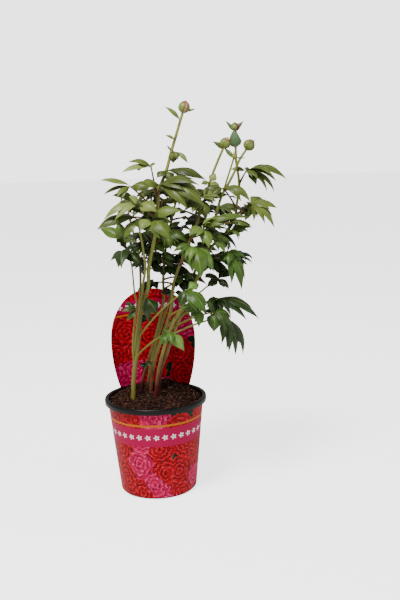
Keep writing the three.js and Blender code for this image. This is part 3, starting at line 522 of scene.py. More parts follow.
# %% Drain holes
DRAIN_RADIUS = 5
DRAIN_CIRCLE = 54
DRAIN_COUNT = 8
DRILL_SIDES = 24
drills = Heap()
for turn in math.tau * (np.arange(DRAIN_COUNT) + 0.5) / DRAIN_COUNT:
    centre = DRAIN_CIRCLE * np.array([math.cos(turn), math.sin(turn), 0])
    drills.put(*capped([circle(DRAIN_RADIUS, z, DRILL_SIDES) + centre for z in (-10, 10)]))
drill = drills.made("drill", black_polypropylene)
cut = pot.modifiers.new("drain_holes", "BOOLEAN")
cut.operation = "DIFFERENCE"
cut.object = drill
cut.solver = "EXACT"
drilled = bpy.data.meshes.new_from_object(pot.evaluated_get(bpy.context.evaluated_depsgraph_get()))
pot.modifiers.clear()
pot.data = drilled
bpy.data.objects.remove(drill)
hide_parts("pot")
print("drilled pot:", len(pot.data.polygons), "faces")

# %% [markdown]
# The soil is a disc of peat whose height follows one rule: it rises to the back, heaps round the
# crown of the plant, has small lumps, and lies against the wall. Displacement in the material could
# roughen it, but only real points show in the outline and in an exported mesh, so noise moves them.

# %% Soil
SOIL_LEVEL = 163
SOIL_RISE = 12
SOIL_MOUND = 8
WALL_HEAP = 4           # loose peat that lies against the wall
CROWN = (-16, 24)
SOIL_RINGS = 64
SOIL_SIDES = 200
SOIL_FOOT = POT_FLOOR + GAP


def soil_height(x, y):
    """The solid's own sum, with the loose peat at the wall."""
    back = 0.5 + 0.5 * y / POT_NECK_RADIUS
    heap = SOIL_MOUND * math.exp(-((math.hypot(x - CROWN[0], y - CROWN[1]) / 42) ** 2))
    rear = 7 * math.exp(-(((x - 14) / 30) ** 2) - ((y - 66) / 20) ** 2)
    lumps = 1.6 * math.sin(x / 7.1 + 1.3) * math.sin(y / 6.3 + 0.4) + 1.1 * math.sin((x + y) / 4.7)
    outer = max(0, math.hypot(x, y) / wall_radius(SOIL_LEVEL) - 0.6) / 0.4
    return SOIL_LEVEL + SOIL_RISE * back * back + heap + rear + lumps + WALL_HEAP * outer


def roughness_at(x, y):
    return 2.4 * noise.noise(Vector((x, y, 0)) / 5.0) + 1.2 * noise.noise(Vector((x, y, 9)) / 2.2)


soil_reach = wall_radius(SOIL_LEVEL) - POT_WALL - GAP
rings = [circle(wall_radius(SOIL_FOOT) - POT_WALL - GAP, SOIL_FOOT, SOIL_SIDES)]
for share in 1 - np.arange(SOIL_RINGS) / SOIL_RINGS:
    ring = circle(soil_reach * share, 0, SOIL_SIDES)
    ring_drop = 2 * max(0, (share - 0.95) / 0.05)
    ring[:, 2] = [soil_height(x, y) + roughness_at(x, y) - ring_drop for x, y, _ in ring]
    rings.append(ring)
points, faces = centred(rings, (0, 0, SOIL_FOOT), (0, 0, soil_height(0, 0)))
soil = piece("peat_fill", points, faces, damp_peat, sharp=180)
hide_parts("soil")

# %% [markdown]
# Crumbs and clods lie loose on the soil. A particle system could scatter them, but it isn't part of
# an exported mesh. So each is a ball with its points pushed in and out, set down at a seeded random
# place. The same draws come each time, because the rule for them is fixed.

# %% Seeded draws
MODULUS = 2147483647


def draws_from(seed):
    state = (seed * 7919 + 17) % MODULUS
    while True:
        state = state * 16807 % MODULUS
        yield state / MODULUS


# %% Crumbs
CRUMB_COUNT = 1200
LEAST_CRUMB = 0.8       # a crumb's radius in mm, and what the largest has more
CRUMB_SPREAD = 3.6
ball_maker = bmesh.new()
bmesh.ops.create_icosphere(ball_maker, subdivisions=2, radius=1)
BALL = np.array([v.co[:] for v in ball_maker.verts])
BALL_FACES = [[v.index for v in f.verts] for f in ball_maker.faces]
ball_maker.free()
draw = draws_from(71)
crumbs = Heap()
for i in range(CRUMB_COUNT):
    turn, out = math.tau * next(draw), soil_reach * 0.97 * math.sqrt(next(draw))
    x, y = out * math.sin(turn), out * math.cos(turn)
    size = LEAST_CRUMB + CRUMB_SPREAD * next(draw) ** 2.5
    stretch = np.array([0.7 + 0.8 * next(draw), 0.7 + 0.8 * next(draw), 0.5 + 0.4 * next(draw)])
    push = np.array([1 + 0.5 * noise.noise(Vector(p) * 1.6 + Vector((i, 0, 0))) for p in BALL])
    z = soil_height(x, y) + 0.25 * size
    crumbs.put(BALL * push[:, None] * stretch * size + (x, y, z), BALL_FACES)
crumbs.made("peat_crumbs", damp_peat, sharp=60)

# %% [markdown]
# Threads of straw and root lie between the crumbs. A thread is a thin tube along a bent line. A
# bevelled curve would look the same, but one helper of our own makes every round thing of this
# plant, from a root thread to a stem, with a radius and a fact for each of its points.

# %% Tubes
def smooth_line(points, step):
    """A rounded line through the points, and how far along them each of its points is."""
    points = np.asarray(points, float)
    ends = np.vstack([2 * points[0] - points[1], points, 2 * points[-1] - points[-2]])
    line, marks = [], []
    for i in range(1, len(ends) - 2):
        a, b, c, d = ends[i - 1 : i + 3]
        count = max(1, round(float(np.linalg.norm(c - b)) / step))
        for t in np.arange(count) / count:
            bend = 2 * a - 5 * b + 4 * c - d + t * (3 * (b - c) + d - a)
            line.append(b + 0.5 * t * (c - a + t * bend))
            marks.append(i - 1 + t)
    return np.array(line + [points[-1]]), np.array(marks + [len(points) - 1])


def tube(line, radii, sides):
    """Points and faces of a closed round tube along a line, with one radius for each point."""
    ahead = np.gradient(line, axis=0)
    ahead /= np.linalg.norm(ahead, axis=1)[:, None]
    hint = np.array([1.0, 0, 0]) if abs(ahead[0][2]) > 0.6 else np.array([0, 0, 1.0])
    rings = []
    for p, r, along in zip(line, radii, ahead):
        u = np.cross(hint, along)
        u /= np.linalg.norm(u)
        rings.append(p + circle(r, 0, sides) @ np.array([u, np.cross(along, u), along]))
    return capped(rings)


# %% Threads in the peat
THREAD_COUNT = 70
CROWN_THREADS = 34      # the third of the threads that lies this near the crown
THREAD_STEP = 3
THREAD_SIDES = 5
draw = draws_from(83)
threads = Heap("tone")
for i in range(THREAD_COUNT):
    near_crown = i % 3 == 0
    turn = math.tau * next(draw)
    out = (CROWN_THREADS if near_crown else soil_reach * 0.9) * math.sqrt(next(draw))
    middle = np.array([out * math.sin(turn), out * math.cos(turn)]) + (np.array(CROWN) if near_crown else 0)
    heading = math.pi * next(draw)
    length = 6 + 18 * next(draw) ** 2
    bow = 0.25 * length * (next(draw) - 0.5)
    lift = 1.0 + 1.6 * next(draw)
    points = []
    for share in np.linspace(-0.5, 0.5, 5):
        forth, aside = share * length, bow * (1 - 4 * share**2)
        x = middle[0] + forth * math.cos(heading) - aside * math.sin(heading)
        y = middle[1] + forth * math.sin(heading) + aside * math.cos(heading)
        reach = min(1, (soil_reach - 3) / max(1, math.hypot(x, y)))
        x, y = x * reach, y * reach
        points.append((x, y, soil_height(x, y) + lift * (1 - 2 * abs(share)) + 0.3))
    line, _ = smooth_line(points, THREAD_STEP)
    thickness = 0.22 + 0.35 * next(draw) ** 2
    threads.put(*tube(line, np.full(len(line), thickness), THREAD_SIDES), tone=next(draw))
threads.made("peat_threads", dry_straw)

# %% [markdown]
# The sleeve is one sheet: a cone round the pot, and a card that stands up behind the rim. A plane
# with a Solidify modifier would serve, but each point also needs its place on the flat print, in
# millimetres along the sheet and up it. So both parts are two grids of points a card's thickness
# apart, closed round their edge.

# %% Sheets
def sheet_between(inner, outer, columns, rows):
    """Faces of two grids of points joined into one closed sheet. Both run row by row."""
    count = columns * rows
    faces = []
    for i in range(rows - 1):
        for k in range(columns - 1):
            a, b = i * columns + k, i * columns + k + 1
            faces.append((a, b, b + columns, a + columns))
            faces.append((a + count, a + columns + count, b + columns + count, b + count))
    border = [(k, k + 1) for k in range(columns - 1)]
    border += [((i + 1) * columns - 1, (i + 2) * columns - 1) for i in range(rows - 1)]
    border += [((rows - 1) * columns + k + 1, (rows - 1) * columns + k) for k in range(columns - 1)]
    border += [((i + 1) * columns, i * columns) for i in range(rows - 1)]
    faces += [(b, a, a + count, b + count) for a, b in border]
    return list(inner) + list(outer), faces


# %% Measures of the sleeve
CARD_THICKNESS = 0.8
CARD_TURN = math.radians(3.7)
CARD_NECK_HALF = 67
CARD_HALF_WIDTH = 81
CARD_WIDEST_Z = 268
CARD_TOP_Z = 362.5
CARD_TOP_RADIUS = 108.5
CARD_DOME = 2.2         # 2 would be an ellipse
CARD_FOOT_Z = LIP - 0.5 - 22
WRAP_PRINT = 501.6      # how much of the print goes round the pot
CARD_PRINT_START = 1120


def card_radius(z):
    heights = (CARD_FOOT_Z, CARD_FOOT_Z + 6, LIP - 0.5, POT_HEIGHT, CARD_TOP_Z + 10)
    clear = GAP + 0.1
    radii = (wall_radius(CARD_FOOT_Z) + clear, wall_radius(CARD_FOOT_Z + 6) + clear, POT_RIM_RADIUS + clear,
             POT_RIM_RADIUS + GAP + 0.4, CARD_TOP_RADIUS)
    return float(np.interp(z, heights, radii))


def card_half_width(z):
    if z > CARD_WIDEST_Z:
        rise = (z - CARD_WIDEST_Z) / (CARD_TOP_Z - CARD_WIDEST_Z)
        return CARD_HALF_WIDTH * max(0.0, 1 - rise**CARD_DOME) ** (1 / CARD_DOME)
    if z < POT_HEIGHT:
        return CARD_NECK_HALF + max(0, z - CARD_FOOT_Z) / (POT_HEIGHT - CARD_FOOT_Z)
    t = (z - POT_HEIGHT) / (CARD_WIDEST_Z - POT_HEIGHT)
    return (1 - t) ** 2 * (CARD_NECK_HALF + 1) + (1 - (1 - t) ** 2) * CARD_HALF_WIDTH


print("width of the card half way up:", round(2 * card_half_width((CARD_FOOT_Z + CARD_TOP_Z) / 2), 1))

# %% Printed sleeve
def wrap_place(share, z, extra):
    turn, r = math.tau * share, wall_radius(z) + GAP + extra
    return (r * math.sin(turn), r * math.cos(turn), z), (WRAP_PRINT * share, z, 0)


def card_place(share, z, extra):
    x, r = share * max(card_half_width(z), 0.5), card_radius(z) + extra
    y = math.sqrt(r * r - x * x)
    turned = Matrix.Rotation(CARD_TURN, 2) @ Vector((x, y))
    return (*turned, z), (x + CARD_PRINT_START, z, 0)


wrap_rows = np.linspace(3, LIP - 0.5, 12)
dome = CARD_WIDEST_Z + (CARD_TOP_Z - CARD_WIDEST_Z) * np.sin(np.linspace(0.06, 1, 26) * math.pi / 2)
card_rows = np.concatenate([np.linspace(CARD_FOOT_Z, CARD_WIDEST_Z, 24), dome])
sleeve = Heap("print_mm")
for place, rows, shares in (
    (wrap_place, wrap_rows, np.linspace(0, 1, 161)), (card_place, card_rows, np.linspace(-1, 1, 37))
):
    inner, outer = [
        [place(share, z, extra) for z in rows for share in shares] for extra in (0, CARD_THICKNESS)
    ]
    points, faces = sheet_between([p for p, _ in inner], [p for p, _ in outer], len(shares), len(rows))
    sleeve.put(points, faces, print_mm=[on_print for _, on_print in inner + outer])
printed_sleeve = sleeve.made("printed_sheet", printed_card, sharp=40)
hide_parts("printed_sleeve")

# %% [markdown]
# The plant follows the same rows as its solids: routes for the stems, a row for each spray of
# leaflets on the near side, and a rule for those of the far side. A rule alone would grow some other
# peony, so the near sprays were set one by one, after the photograph.

# %% Routes of the stems
# Radius at the foot and at the end, then the points. A name of three letters is a side branch.
ROUTES = {
    "s1": (4.4, 2.1, [(-43,2,166), (-38,2,222), (-28,-2,279), (-20,-6,339), (-5,-10,382), (-2,-14,419),
        (12,-18,479), (19,-18,532), (22,-16,558), (36,-13,591), (47,-10,627), (68,-6,690)]),
    "s1b": (2.6, 1.5, [(-20,-6,339), (-14,-12,388), (-8,-20,420), (-10,-28,457), (-14,-36,489),
        (-17,-46,510)]),
    "s1c": (2.2, 1.3, [(-36,2,233), (-38,-6,268), (-33,-14,313), (-26,-20,353), (-29,-25,378),
        (-31,-30,422), (-35,-38,451)]),
    "s2": (3.2, 1.7, [(-30,30,168), (-23,30,206), (-10,28,245), (0,26,275), (13,26,318), (21,28,356),
        (21,32,389), (26,36,436), (37,40,486), (48,44,528), (54,46,551)]),
    "s3": (3.7, 1.9, [(-11,20,168), (-7,20,207), (1,16,243), (13,12,277), (28,8,316), (36,4,346),
        (40,0,381), (50,-4,412), (68,-8,452), (88,-8,499), (105,-6,546), (119,-4,585), (138,-2,627)]),
    "s4": (3.7, 1.8, [(4,28,168), (9,28,213), (21,26,245), (38,22,292), (54,20,330), (67,20,371),
        (87,22,417), (116,24,453), (140,22,476), (157,18,504), (161,16,527), (166,12,563), (161,8,606),
        (161,8,626)]),
    "s5": (3.4, 1.8, [(-1,2,167), (6,0,217), (17,-6,260), (34,-14,307), (60,-20,354), (85,-22,399),
        (104,-22,449), (119,-20,502), (132,-16,542), (143,-14,561), (157,-12,586), (166,-11,606),
        (178,-10,623)]),
    "s5b": (1.6, 1.4, [(134,-16,546), (145,-24,579), (155,-28,608)]),
    "s6": (3.2, 1.7, [(-45,30,166), (-43,38,205), (-38,46,263), (-26,52,343), (-23,56,420), (-33,60,477),
        (-42,64,515)]),
    "s7": (3.4, 1.8, [(-18,44,168), (-9,52,226), (14,62,301), (42,68,377), (66,72,445), (82,74,494),
        (90,76,526)]),
}
print("routes:", len(ROUTES))

# %% Sprays of the near side
# Route, height where the stalk leaves, hub where the leaflets meet, then each leaflet's tip and width
SPRAYS = [
    ("s1", 532, (10,-22,598), (-29,-38,608,17), (-39,-55,591,14), (14,-2,605,7), (-15,22,592,15)),
    ("s1", 588, (36,-18,591), (20,-34,580,13), (106,-34,573,18), (74,16,570,15), (46,-34,572,13)),
    ("s1", 545, (24,-24,565), (95,-62,567,24), (104,-74,527,24), (73,-36,547,13), (-9,-50,566,17),
     (62,12,549,17)),
    ("s1", 505, (-12,-52,533), (-72,-72,512,19), (-28,-66,550,13), (20,-84,523,18), (-61,-20,550,11)),
    ("s1", 515, (-26,-40,566), (-78,-58,579,15), (-75,-34,553,9), (-49,-70,548,8), (8,-56,562,15),
     (-41,-72,540,7)),
    ("s1b", 505, (-17,-46,510), (-85,-72,495,17), (-39,-66,478,17), (-63,-10,500,17), (7,-84,488,17)),
    ("s1", 490, (8,-58,508), (63,-78,523,16), (41,-96,476,26), (-8,-90,493,15), (44,-40,499,13)),
    ("s1c", 448, (-35,-38,451), (-66,-52,439,13), (-51,-70,431,15), (-39,-84,428,17), (-16,-56,434,20)),
    ("s1c", 436, (-43,-34,471), (-87,-12,492,14), (-51,-30,506,13)),
    ("s1c", 325, (-26,-26,346), (-52,-40,345,9), (-44,-34,327,13), (-48,-8,355,6)),
    ("s1", 345, (-9,-16,366), (10,-24,335,18), (-4,-12,318,11)),
    ("s1", 290, (68,-84,388), (54,-96,361,20), (98,-104,348,24), (88,-70,395,13)),
    ("s1", 252, (31,-56,307), (17,-66,288,13), (27,-80,292,13), (37,-74,293,11), (58,-72,277,15),
     (20,-40,307,9)),
    ("s2", 220, (-18,14,236), (-28,4,232,9), (-18,-2,228,9), (-4,4,235,9)),
    ("s2", 535, (54,42,560), (36,62,573,15), (6,58,556,15), (88,66,557,17), (70,14,519,15)),
    ("s2", 460, (32,20,482), (70,-10,462,17), (1,4,462,15), (38,-20,451,15), (58,40,496,11)),
    ("s2", 415, (17,22,440), (45,4,428,9), (41,22,413,9), (1,10,425,7), (4,34,405,7), (17,-14,422,7)),
    ("s3", 560, (112,-12,569), (97,-20,566,7), (130,-22,558,13), (121,22,581,11)),
    ("s3", 505, (94,-30,539), (130,-60,544,13), (80,-70,519,17), (66,-50,522,13), (101,-72,503,15)),
    ("s3", 465, (98,-52,489), (107,-76,458,17), (73,-88,481,15), (151,-74,507,17), (181,-46,505,11),
     (116,-60,516,13)),
    ("s3", 420, (79,-66,460), (92,-100,410,29), (114,-78,417,20), (45,-82,454,13), (74,-92,437,13),
     (59,-58,439,13)),
    ("s3", 320, (86,-56,349), (53,-70,352,17), (85,-66,318,13), (72,-78,337,13), (96,-40,367,15)),
    ("s3", 290, (113,-66,344), (111,-78,311,24), (147,-70,308,13), (143,-50,329,15), (96,-76,366,15)),
    ("s4", 562, (178,2,585), (149,-10,590,9), (195,-10,561,11), (197,-24,572,15), (226,-34,573,11),
     (250,-14,570,18), (229,10,545,17), (181,14,593,7)),
    ("s4", 520, (135,-28,558), (182,-46,533,17), (114,-40,546,9), (161,4,553,11)),
    ("s4", 500, (184,-2,529), (232,-10,519,20), (225,-26,485,19), (188,-34,499,13), (173,-20,499,11),
     (208,30,534,17)),
    ("s4", 460, (147,-6,481), (105,-20,487,7), (164,-22,471,9), (162,10,462,9), (187,6,484,13),
     (141,24,495,11)),
    ("s4", 420, (138,-28,445), (163,-46,378,20), (140,-60,426,15), (136,-44,468,11), (174,-4,423,15)),
    ("s3", 300, (122,-26,397), (141,-38,380,13), (102,-34,384,13), (123,-12,389,7), (97,-60,405,19),
     (147,4,408,13)),
    ("s4", 318, (120,-22,361), (194,-34,323,25), (118,-40,338,11), (100,-8,352,15), (143,-60,333,15)),
    ("s1", 622, (51,-17,624), (75,-23,603,7), (49,-16,604,10), (58,-24,609,8), (46,-20,610,7)),
    ("s5", 450, (117,-34,473), (135,-56,445,15), (149,-22,448,13), (104,-60,466,11)),
    ("s5", 290, (135,-10,324), (126,-24,286,11), (138,-30,262,13), (150,-14,251,13), (156,4,269,11),
     (164,10,250,11)),
]
# A bract is a single leaflet: route, height, tip and width
BRACTS = [
    ("s1", 677, (37,-16,702), 8), ("s1", 645, (36,-16,653), 7), ("s1", 643, (59,-8,655), 6),
    ("s1", 624, (38,-12,636), 4),
]
print("near sprays:", len(SPRAYS))

# %% Sprays of the far side
# Route, height, the stalk's heading and pitch in degrees, its reach, length and count of leaflets
FAR_SPRAYS = [
    ("s6", 512, 80, 40, 34, 54, 5), ("s6", 505, -20, 0, 26, 46, 5), ("s6", 470, -60, 15, 30, 46, 5),
    ("s6", 450, 95, 25, 34, 48, 5), ("s6", 430, -10, -10, 34, 52, 5), ("s6", 405, -5, 5, 46, 54, 5),
    ("s7", 522, 80, 40, 32, 58, 5), ("s7", 508, -10, 15, 42, 56, 5), ("s7", 505, 190, 20, 40, 56, 5),
    ("s7", 462, -110, 15, 34, 50, 5), ("s7", 460, 20, 10, 48, 60, 5), ("s7", 440, 150, 15, 52, 60, 5),
    ("s7", 420, -20, 0, 48, 56, 5), ("s7", 524, -60, 55, 36, 44, 5), ("s7", 375, 200, 10, 40, 50, 4),
    ("s4", 500, 35, 30, 44, 58, 5), ("s4", 500, 110, 0, 34, 44, 5), ("s4", 425, 40, -5, 44, 50, 5),
    ("s2", 530, 160, 45, 32, 52, 5), ("s2", 500, 20, 5, 30, 50, 5), ("s2", 440, 200, 20, 36, 50, 4),
    ("s2", 390, -20, 10, 38, 50, 4), ("s5", 430, 10, 5, 50, 54, 5), ("s5", 492, 20, 5, 34, 42, 5),
    ("s3", 440, 60, 10, 44, 56, 5), ("s4", 325, 15, 5, 50, 44, 4), ("s1", 460, 60, 10, 46, 56, 5),
    ("s1", 420, 97, 10, 40, 54, 5), ("s1", 520, 70, 30, 40, 54, 4), ("s6", 500, -40, 40, 40, 46, 5),
    ("s6", 455, -30, 20, 36, 50, 5), ("s3", 492, 75, 5, 44, 58, 5), ("s7", 500, 30, 25, 40, 56, 5),
    ("s3", 366, 80, 5, 18, 44, 4), ("s2", 372, -20, 25, 34, 46, 4), ("s2", 434, -10, 5, 26, 46, 5),
    ("s1", 545, 110, 20, 34, 54, 4), ("s7", 478, 150, 10, 24, 54, 5),
]
print("far sprays:", len(FAR_SPRAYS))

# %% [markdown]
# A route is followed by height. A far spray's hub lies out along its heading, and its leaflets
# spread round the hub like the fingers of a hand, each with seeded draws for its size and droop.

# %% From rows to sprays
UP = np.array([0, 0, 1.0])
ROOT_DEPTH = 20
FULLNESS = 1.5          # how much wider a leaflet is than its row says
FAR_FULLNESS = 0.46     # the width of a far leaflet as a share of its length
FAN = math.radians(165)


def unit(v):
    return v / np.linalg.norm(v)


def point_at_height(name, z):
    points = np.array(ROUTES[name][2], float)
    i = 0
    while i < len(points) - 2 and points[i + 1][2] < z:
        i += 1
    return points[i] + (points[i + 1] - points[i]) * (z - points[i][2]) / (points[i + 1][2] - points[i][2])


def spray_of(route, z, hub, leaflets):
    root = point_at_height(route, z)
    return {"route": route, "node": int(route[1]), "z": z, "root": root, "hub": hub, "leaflets": leaflets}


def far_spray(row, route, z, heading, pitch, reach, length, count):
    draw = draws_from(500 + row)
    turn, rise = math.radians(heading), math.radians(pitch)
    out = np.array([math.cos(turn), math.sin(turn), 0])
    hub = point_at_height(route, z) + reach * math.cos(rise) * out + reach * math.sin(rise) * UP
    leaflets = []
    for fan in (np.arange(count) / (count - 1) - 0.5) * FAN:
        size = length * (1 - 0.28 * abs(fan)) * (0.9 + 0.2 * next(draw))
        drop = 0.12 + 0.5 * next(draw)
        ahead = np.array([math.cos(turn + fan), math.sin(turn + fan), 0])
        tip = hub + size * math.cos(drop) * ahead - size * math.sin(drop) * UP
        leaflets.append((tip, FAR_FULLNESS * size))
    return spray_of(route, z, hub, leaflets)


sprays = [
    spray_of(route, z, np.array(hub, float), [(np.array(t[:3], float), FULLNESS * t[3]) for t in tips])
    for route, z, hub, *tips in SPRAYS
]
sprays += [far_spray(row, *values) for row, values in enumerate(FAR_SPRAYS)]
print("leaflets asked for:", sum(len(spray["leaflets"]) for spray in sprays))

# %% [markdown]
# In the solids, a stalk or a leaflet that would run through another one was shifted by seeded
# draws until it was clear. The same draws are run through here, and the one that was kept is
# known by its corners: the solid has a point exactly there. A search tree finds it quickly.

# %% Corners of the solids
FOUND_WITHIN = 0.05
corners = {}
for name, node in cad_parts.items():
    if name.startswith("leafy_stem"):
        tree_of_points = kdtree.KDTree(len(node.data.vertices))
        for i, vertex in enumerate(node.data.vertices):
            tree_of_points.insert(vertex.co / MM, i)
        tree_of_points.balance()
        corners[int(name[-1])] = tree_of_points


def is_corner(node, point):
    return corners[node].find(Vector(point))[2] < FOUND_WITHIN


print("solids of stems:", sorted(corners))

# %% Curves of stalks and leaflets
LEANS_OUT = 0.75        # how far the upper side of a leaflet turns away from the plant's axis
PLANT_AXIS = np.array([50, 150, 0])


def upper_side(hub):
    return UP + LEANS_OUT * unit((hub - PLANT_AXIS) * (1, 1, 0))


def square_to(v, axis):
    """The part of a direction that stands square to an axis."""
    return unit(v - axis * (v @ axis))


def bezier(a, b, c, t):
    """Points and headings on a curve with ends a and c that bends towards b."""
    t = np.asarray(t, float)[..., None]
    return (1 - t) ** 2 * a + 2 * t * (1 - t) * b + t * t * c, 2 * (1 - t) * (b - a) + 2 * t * (c - b)


def stalk_middle(root, hub, sway):
    return (root + hub) / 2 + 0.1 * np.linalg.norm(root - hub) * UP + sway


# %% The kept draws
LEAST_ARCH = 0.34       # how high a leaflet arches, as a share of its length
STALK_MARKS = [(0.55, 1.8), (0.12, 1.5)]        # share from the hub, and the solid's half thickness
SWAY_TRIES = 40
SHIFT_TRIES = 60


def drawn_shift(draw, size, shares):
    return size * np.array(shares) * [next(draw) - 0.5 for _ in shares]


def kept_sway(spray, number):
    draw = draws_from(200 + number)
    root, hub = spray["root"], spray["hub"]
    sways = [np.zeros(3)] + [drawn_shift(draw, 6 + tries, (1, 2, 1)) for tries in range(1, SWAY_TRIES)]
    for sway in sways:
        for share, half in STALK_MARKS:
            p, heading = bezier(hub, stalk_middle(root, hub, sway), root, share)
            face = square_to(upper_side(hub), unit(heading))
            if any(is_corner(spray["node"], p + sign * half * face) for sign in (1, -1)):
                return sway
    return None


def kept_leaflet(node, tip, index):
    """Where the tip was kept, or nothing, with the leaflet's arch and roll."""
    draw = draws_from(1000 + index)
    arch, roll = LEAST_ARCH + 0.2 * next(draw), 0.5 * (next(draw) - 0.5)
    shift = np.zeros(3)
    for tries in range(1, SHIFT_TRIES):
        if is_corner(node, tip + shift):
            return tip + shift, arch, roll
        shift = drawn_shift(draw, 5 + 0.8 * tries, (0.5, 2, 0.7))
    return None, arch, roll


# %% Stalks and leaflets as the solids keep them
index = 0
missed = []
for number, spray in enumerate(sprays):
    spray["sway"] = kept_sway(spray, number)
    if spray["sway"] is None:
        missed.append(("stalk", number))
        spray["sway"] = np.zeros(3)
    spray["kept"] = []
    for tip, width in spray["leaflets"]:
        place, arch, roll = kept_leaflet(spray["node"], tip, index)
        if place is None:
            missed.append(("leaflet", index))
        else:
            spray["kept"].append((place, width, arch, roll))
        index += 1
print("leaflets:", sum(len(s["kept"]) for s in sprays), "left out of the solids too:", missed)

# %% [markdown]
# A stem is a round tube along its route, thicker at the soil, with a slight swelling where a leaf
# leaves it. The fact "ripe" runs up the stem, and the material turns it into colour. Low stalks
# stay olive, and those higher up are a red brown.

# %% Stems and stalks
STEM_SIDES = 14
STALK_SIDES = 8
STEM_STEP = 5
GREEN_FROM = 560
BROWN_FROM, BROWN_TO = 310, 420     # over these heights the stalks turn from olive to brown
GREENER = {"s1": 0.3, "s1b": 0.3, "s1c": 0.2, "s3": 0.04, "s4": -0.02, "s5": 0.02, "s6": 0.1, "s7": 0.1}
STALK_SHARES = np.linspace(0, 1, 13)
STALK_RADII = np.interp(STALK_SHARES, [0, 0.06, 0.5, 0.93, 1], [2.7, 2.0, 1.7, 1.4, 1.7])


def ripeness(name, z):
    return np.clip((z - 165) / (GREEN_FROM - 165), 0, 1) ** 0.8 * 0.9 + GREENER.get(name, 0)


stem_heaps = {node: Heap("ripe") for node in corners}
for name, (foot_radius, end_radius, route) in ROUTES.items():
    points = [np.array(p, float) for p in route]
    sizes = np.linspace(foot_radius, end_radius, len(points))
    if len(name) < 3:       # a stem stands in the soil, and a branch on its stem
        points.insert(0, points[0] + ROOT_DEPTH * unit(points[0] - points[1]))
        sizes = np.insert(sizes, 0, sizes[0])
    line, marks = smooth_line(points, STEM_STEP)
    z = line[:, 2]
    radii = np.interp(marks, range(len(points)), sizes) * (1 + 0.2 * np.clip((z - 540) / 60, 0, 1))
    for spray in sprays:
        if spray["route"] == name:
            radii *= 1 + 0.16 * np.exp(-(((z - spray["z"]) / 5) ** 2))
    ripe = np.repeat(ripeness(name, z), STEM_SIDES)
    stem_heaps[int(name[1])].put(*tube(line, radii, STEM_SIDES), ripe=ripe)
for spray in sprays:
    root, hub = spray["root"], spray["hub"]
    line, headings = bezier(root, stalk_middle(root, hub, spray["sway"]), hub, STALK_SHARES)
    line = np.vstack([line, hub + 1.2 * unit(headings[-1])])
    start = np.interp(root[2], [BROWN_FROM, BROWN_TO], [0.36, 0.14])
    ripe = np.repeat(np.linspace(start, start + 0.16, len(line)), STALK_SIDES)
    stem_heaps[spray["node"]].put(*tube(line, [*STALK_RADII, 0.8], STALK_SIDES), ripe=ripe)
print("points of stems:", sum(len(heap.points) for heap in stem_heaps.values()))

# %% [markdown]
# A leaflet is a thin closed blade. A flat card with a leaf's picture on it would look right only
# from afar, so this one has form: its rib is a curve from the hub to the tip, its outline widens to
# the middle and draws out to a point, its halves fold down from the rib, and its margin waves. Two
# grids of points make its faces, upper and under, and a narrow strip joins them.

# %% The shape of a leaflet
ALONG = np.array([0.0, 0.05, 0.1, 0.17, 0.25, 0.34, 0.43, 0.52, 0.61, 0.7, 0.79, 0.87, 0.94, 1.0])
ACROSS = np.array([-1, -0.7, -0.35, 0, 0.35, 0.7, 1.0])
OUTLINE = [(0, 0.05), (0.06, 0.09), (0.12, 0.2), (0.2, 0.46), (0.3, 0.78), (0.4, 0.96), (0.48, 1.0),
           (0.58, 0.97), (0.68, 0.86), (0.78, 0.64), (0.87, 0.38), (0.94, 0.16), (1.0, 0.0)]
FOLD = -0.32
NECK_HALF = 0.7
TIP_HALF = 0.12
WAVES = 1.2


def turned_about(v, axis, angle):
    return math.cos(angle) * v + math.sin(angle) * np.cross(axis, v)


def leaflet(hub, tip, width, arch, roll, wave, upper=None, outline=OUTLINE, fold=FOLD):
    """Points, faces and facts of one blade."""
    chord = tip - hub
    length = np.linalg.norm(chord)
    lift = square_to(upper_side(hub) if upper is None else upper, chord / length)
    ribs, headings = bezier(hub, (hub + tip) / 2 + arch * length * lift, tip, ALONG)
    half = np.interp(ALONG, *zip(*outline)) * width / 2
    half = np.maximum(half, np.where(ALONG < 0.2, NECK_HALF, TIP_HALF))
    flat_face = turned_about(lift, chord / length, roll)
    upper_grid, under_grid, places = [], [], []
    for t, p, heading, reach in zip(ALONG, ribs, headings, half):
        heading = unit(heading)
        face = square_to(flat_face, heading)
        side = np.cross(heading, face)
        for s in ACROSS:
            turn = math.tau * (WAVES * t + wave) + (1.7 if s > 0 else 0)
            height = reach * (fold * abs(s) ** 1.3 - 0.06 * s**4 + 0.06 * math.sin(turn) * s**2)
            centre = p + s * reach * side + height * face
            thick = 0.12 + 0.26 * (1 - s * s) * min(1, reach / 3)
            upper_grid.append(centre + thick * face)
            under_grid.append(centre - thick * face)
            places.append((s, t, 0))
    points, faces = sheet_between(upper_grid, under_grid, len(ACROSS), len(ALONG))
    below = np.repeat([0.0, 1.0], len(places))
    return points, faces, {"blade_place": np.array(places * 2), "below": below}


# %% [markdown]
# The broad leaflets of a peony are cut into three lobes. The far ends of the lobes are blades of
# their own here, turned a little aside from the middle one and joined to it near the foot. The left
# stem's leaflets are mostly whole. Leaves low down, deep inside and on the far side get a darker
# tone than the high ones: painted shade.

# %% Leaflets of the sprays
LOBED_WIDTH = 19
LOBED_WIDTH_LEFT = 28
LOBE_TURN = math.radians(15)
LOBE_REACH = 0.8
SUNNY = 540             # the height of a hub above which its leaves are olive, with no painted shade
SHADY = 440             # and below which they are a truer green with full painted shade
# Painted shade: a darker tone for the far sprays, and for low leaves deep inside
FAR_PAINTED_SHADE = 0.2
INNER_PAINTED_SHADE = 0.22
BRIGHT_FROM = 0.9       # one leaflet in ten is much brighter
leaf_heaps = {node: Heap("tone", "below", "blade_place", "dusk") for node in corners}


# How much of the truer green and the painted shade of the lower leaves a hub gets
def dusk_at(hub):
    return np.clip((SUNNY - hub[2]) / (SUNNY - SHADY), 0, 1)


def grow(node, blade, tone, dusk):
    points, faces, facts = blade
    leaf_heaps[node].put(points, faces, tone=tone, dusk=dusk, **facts)


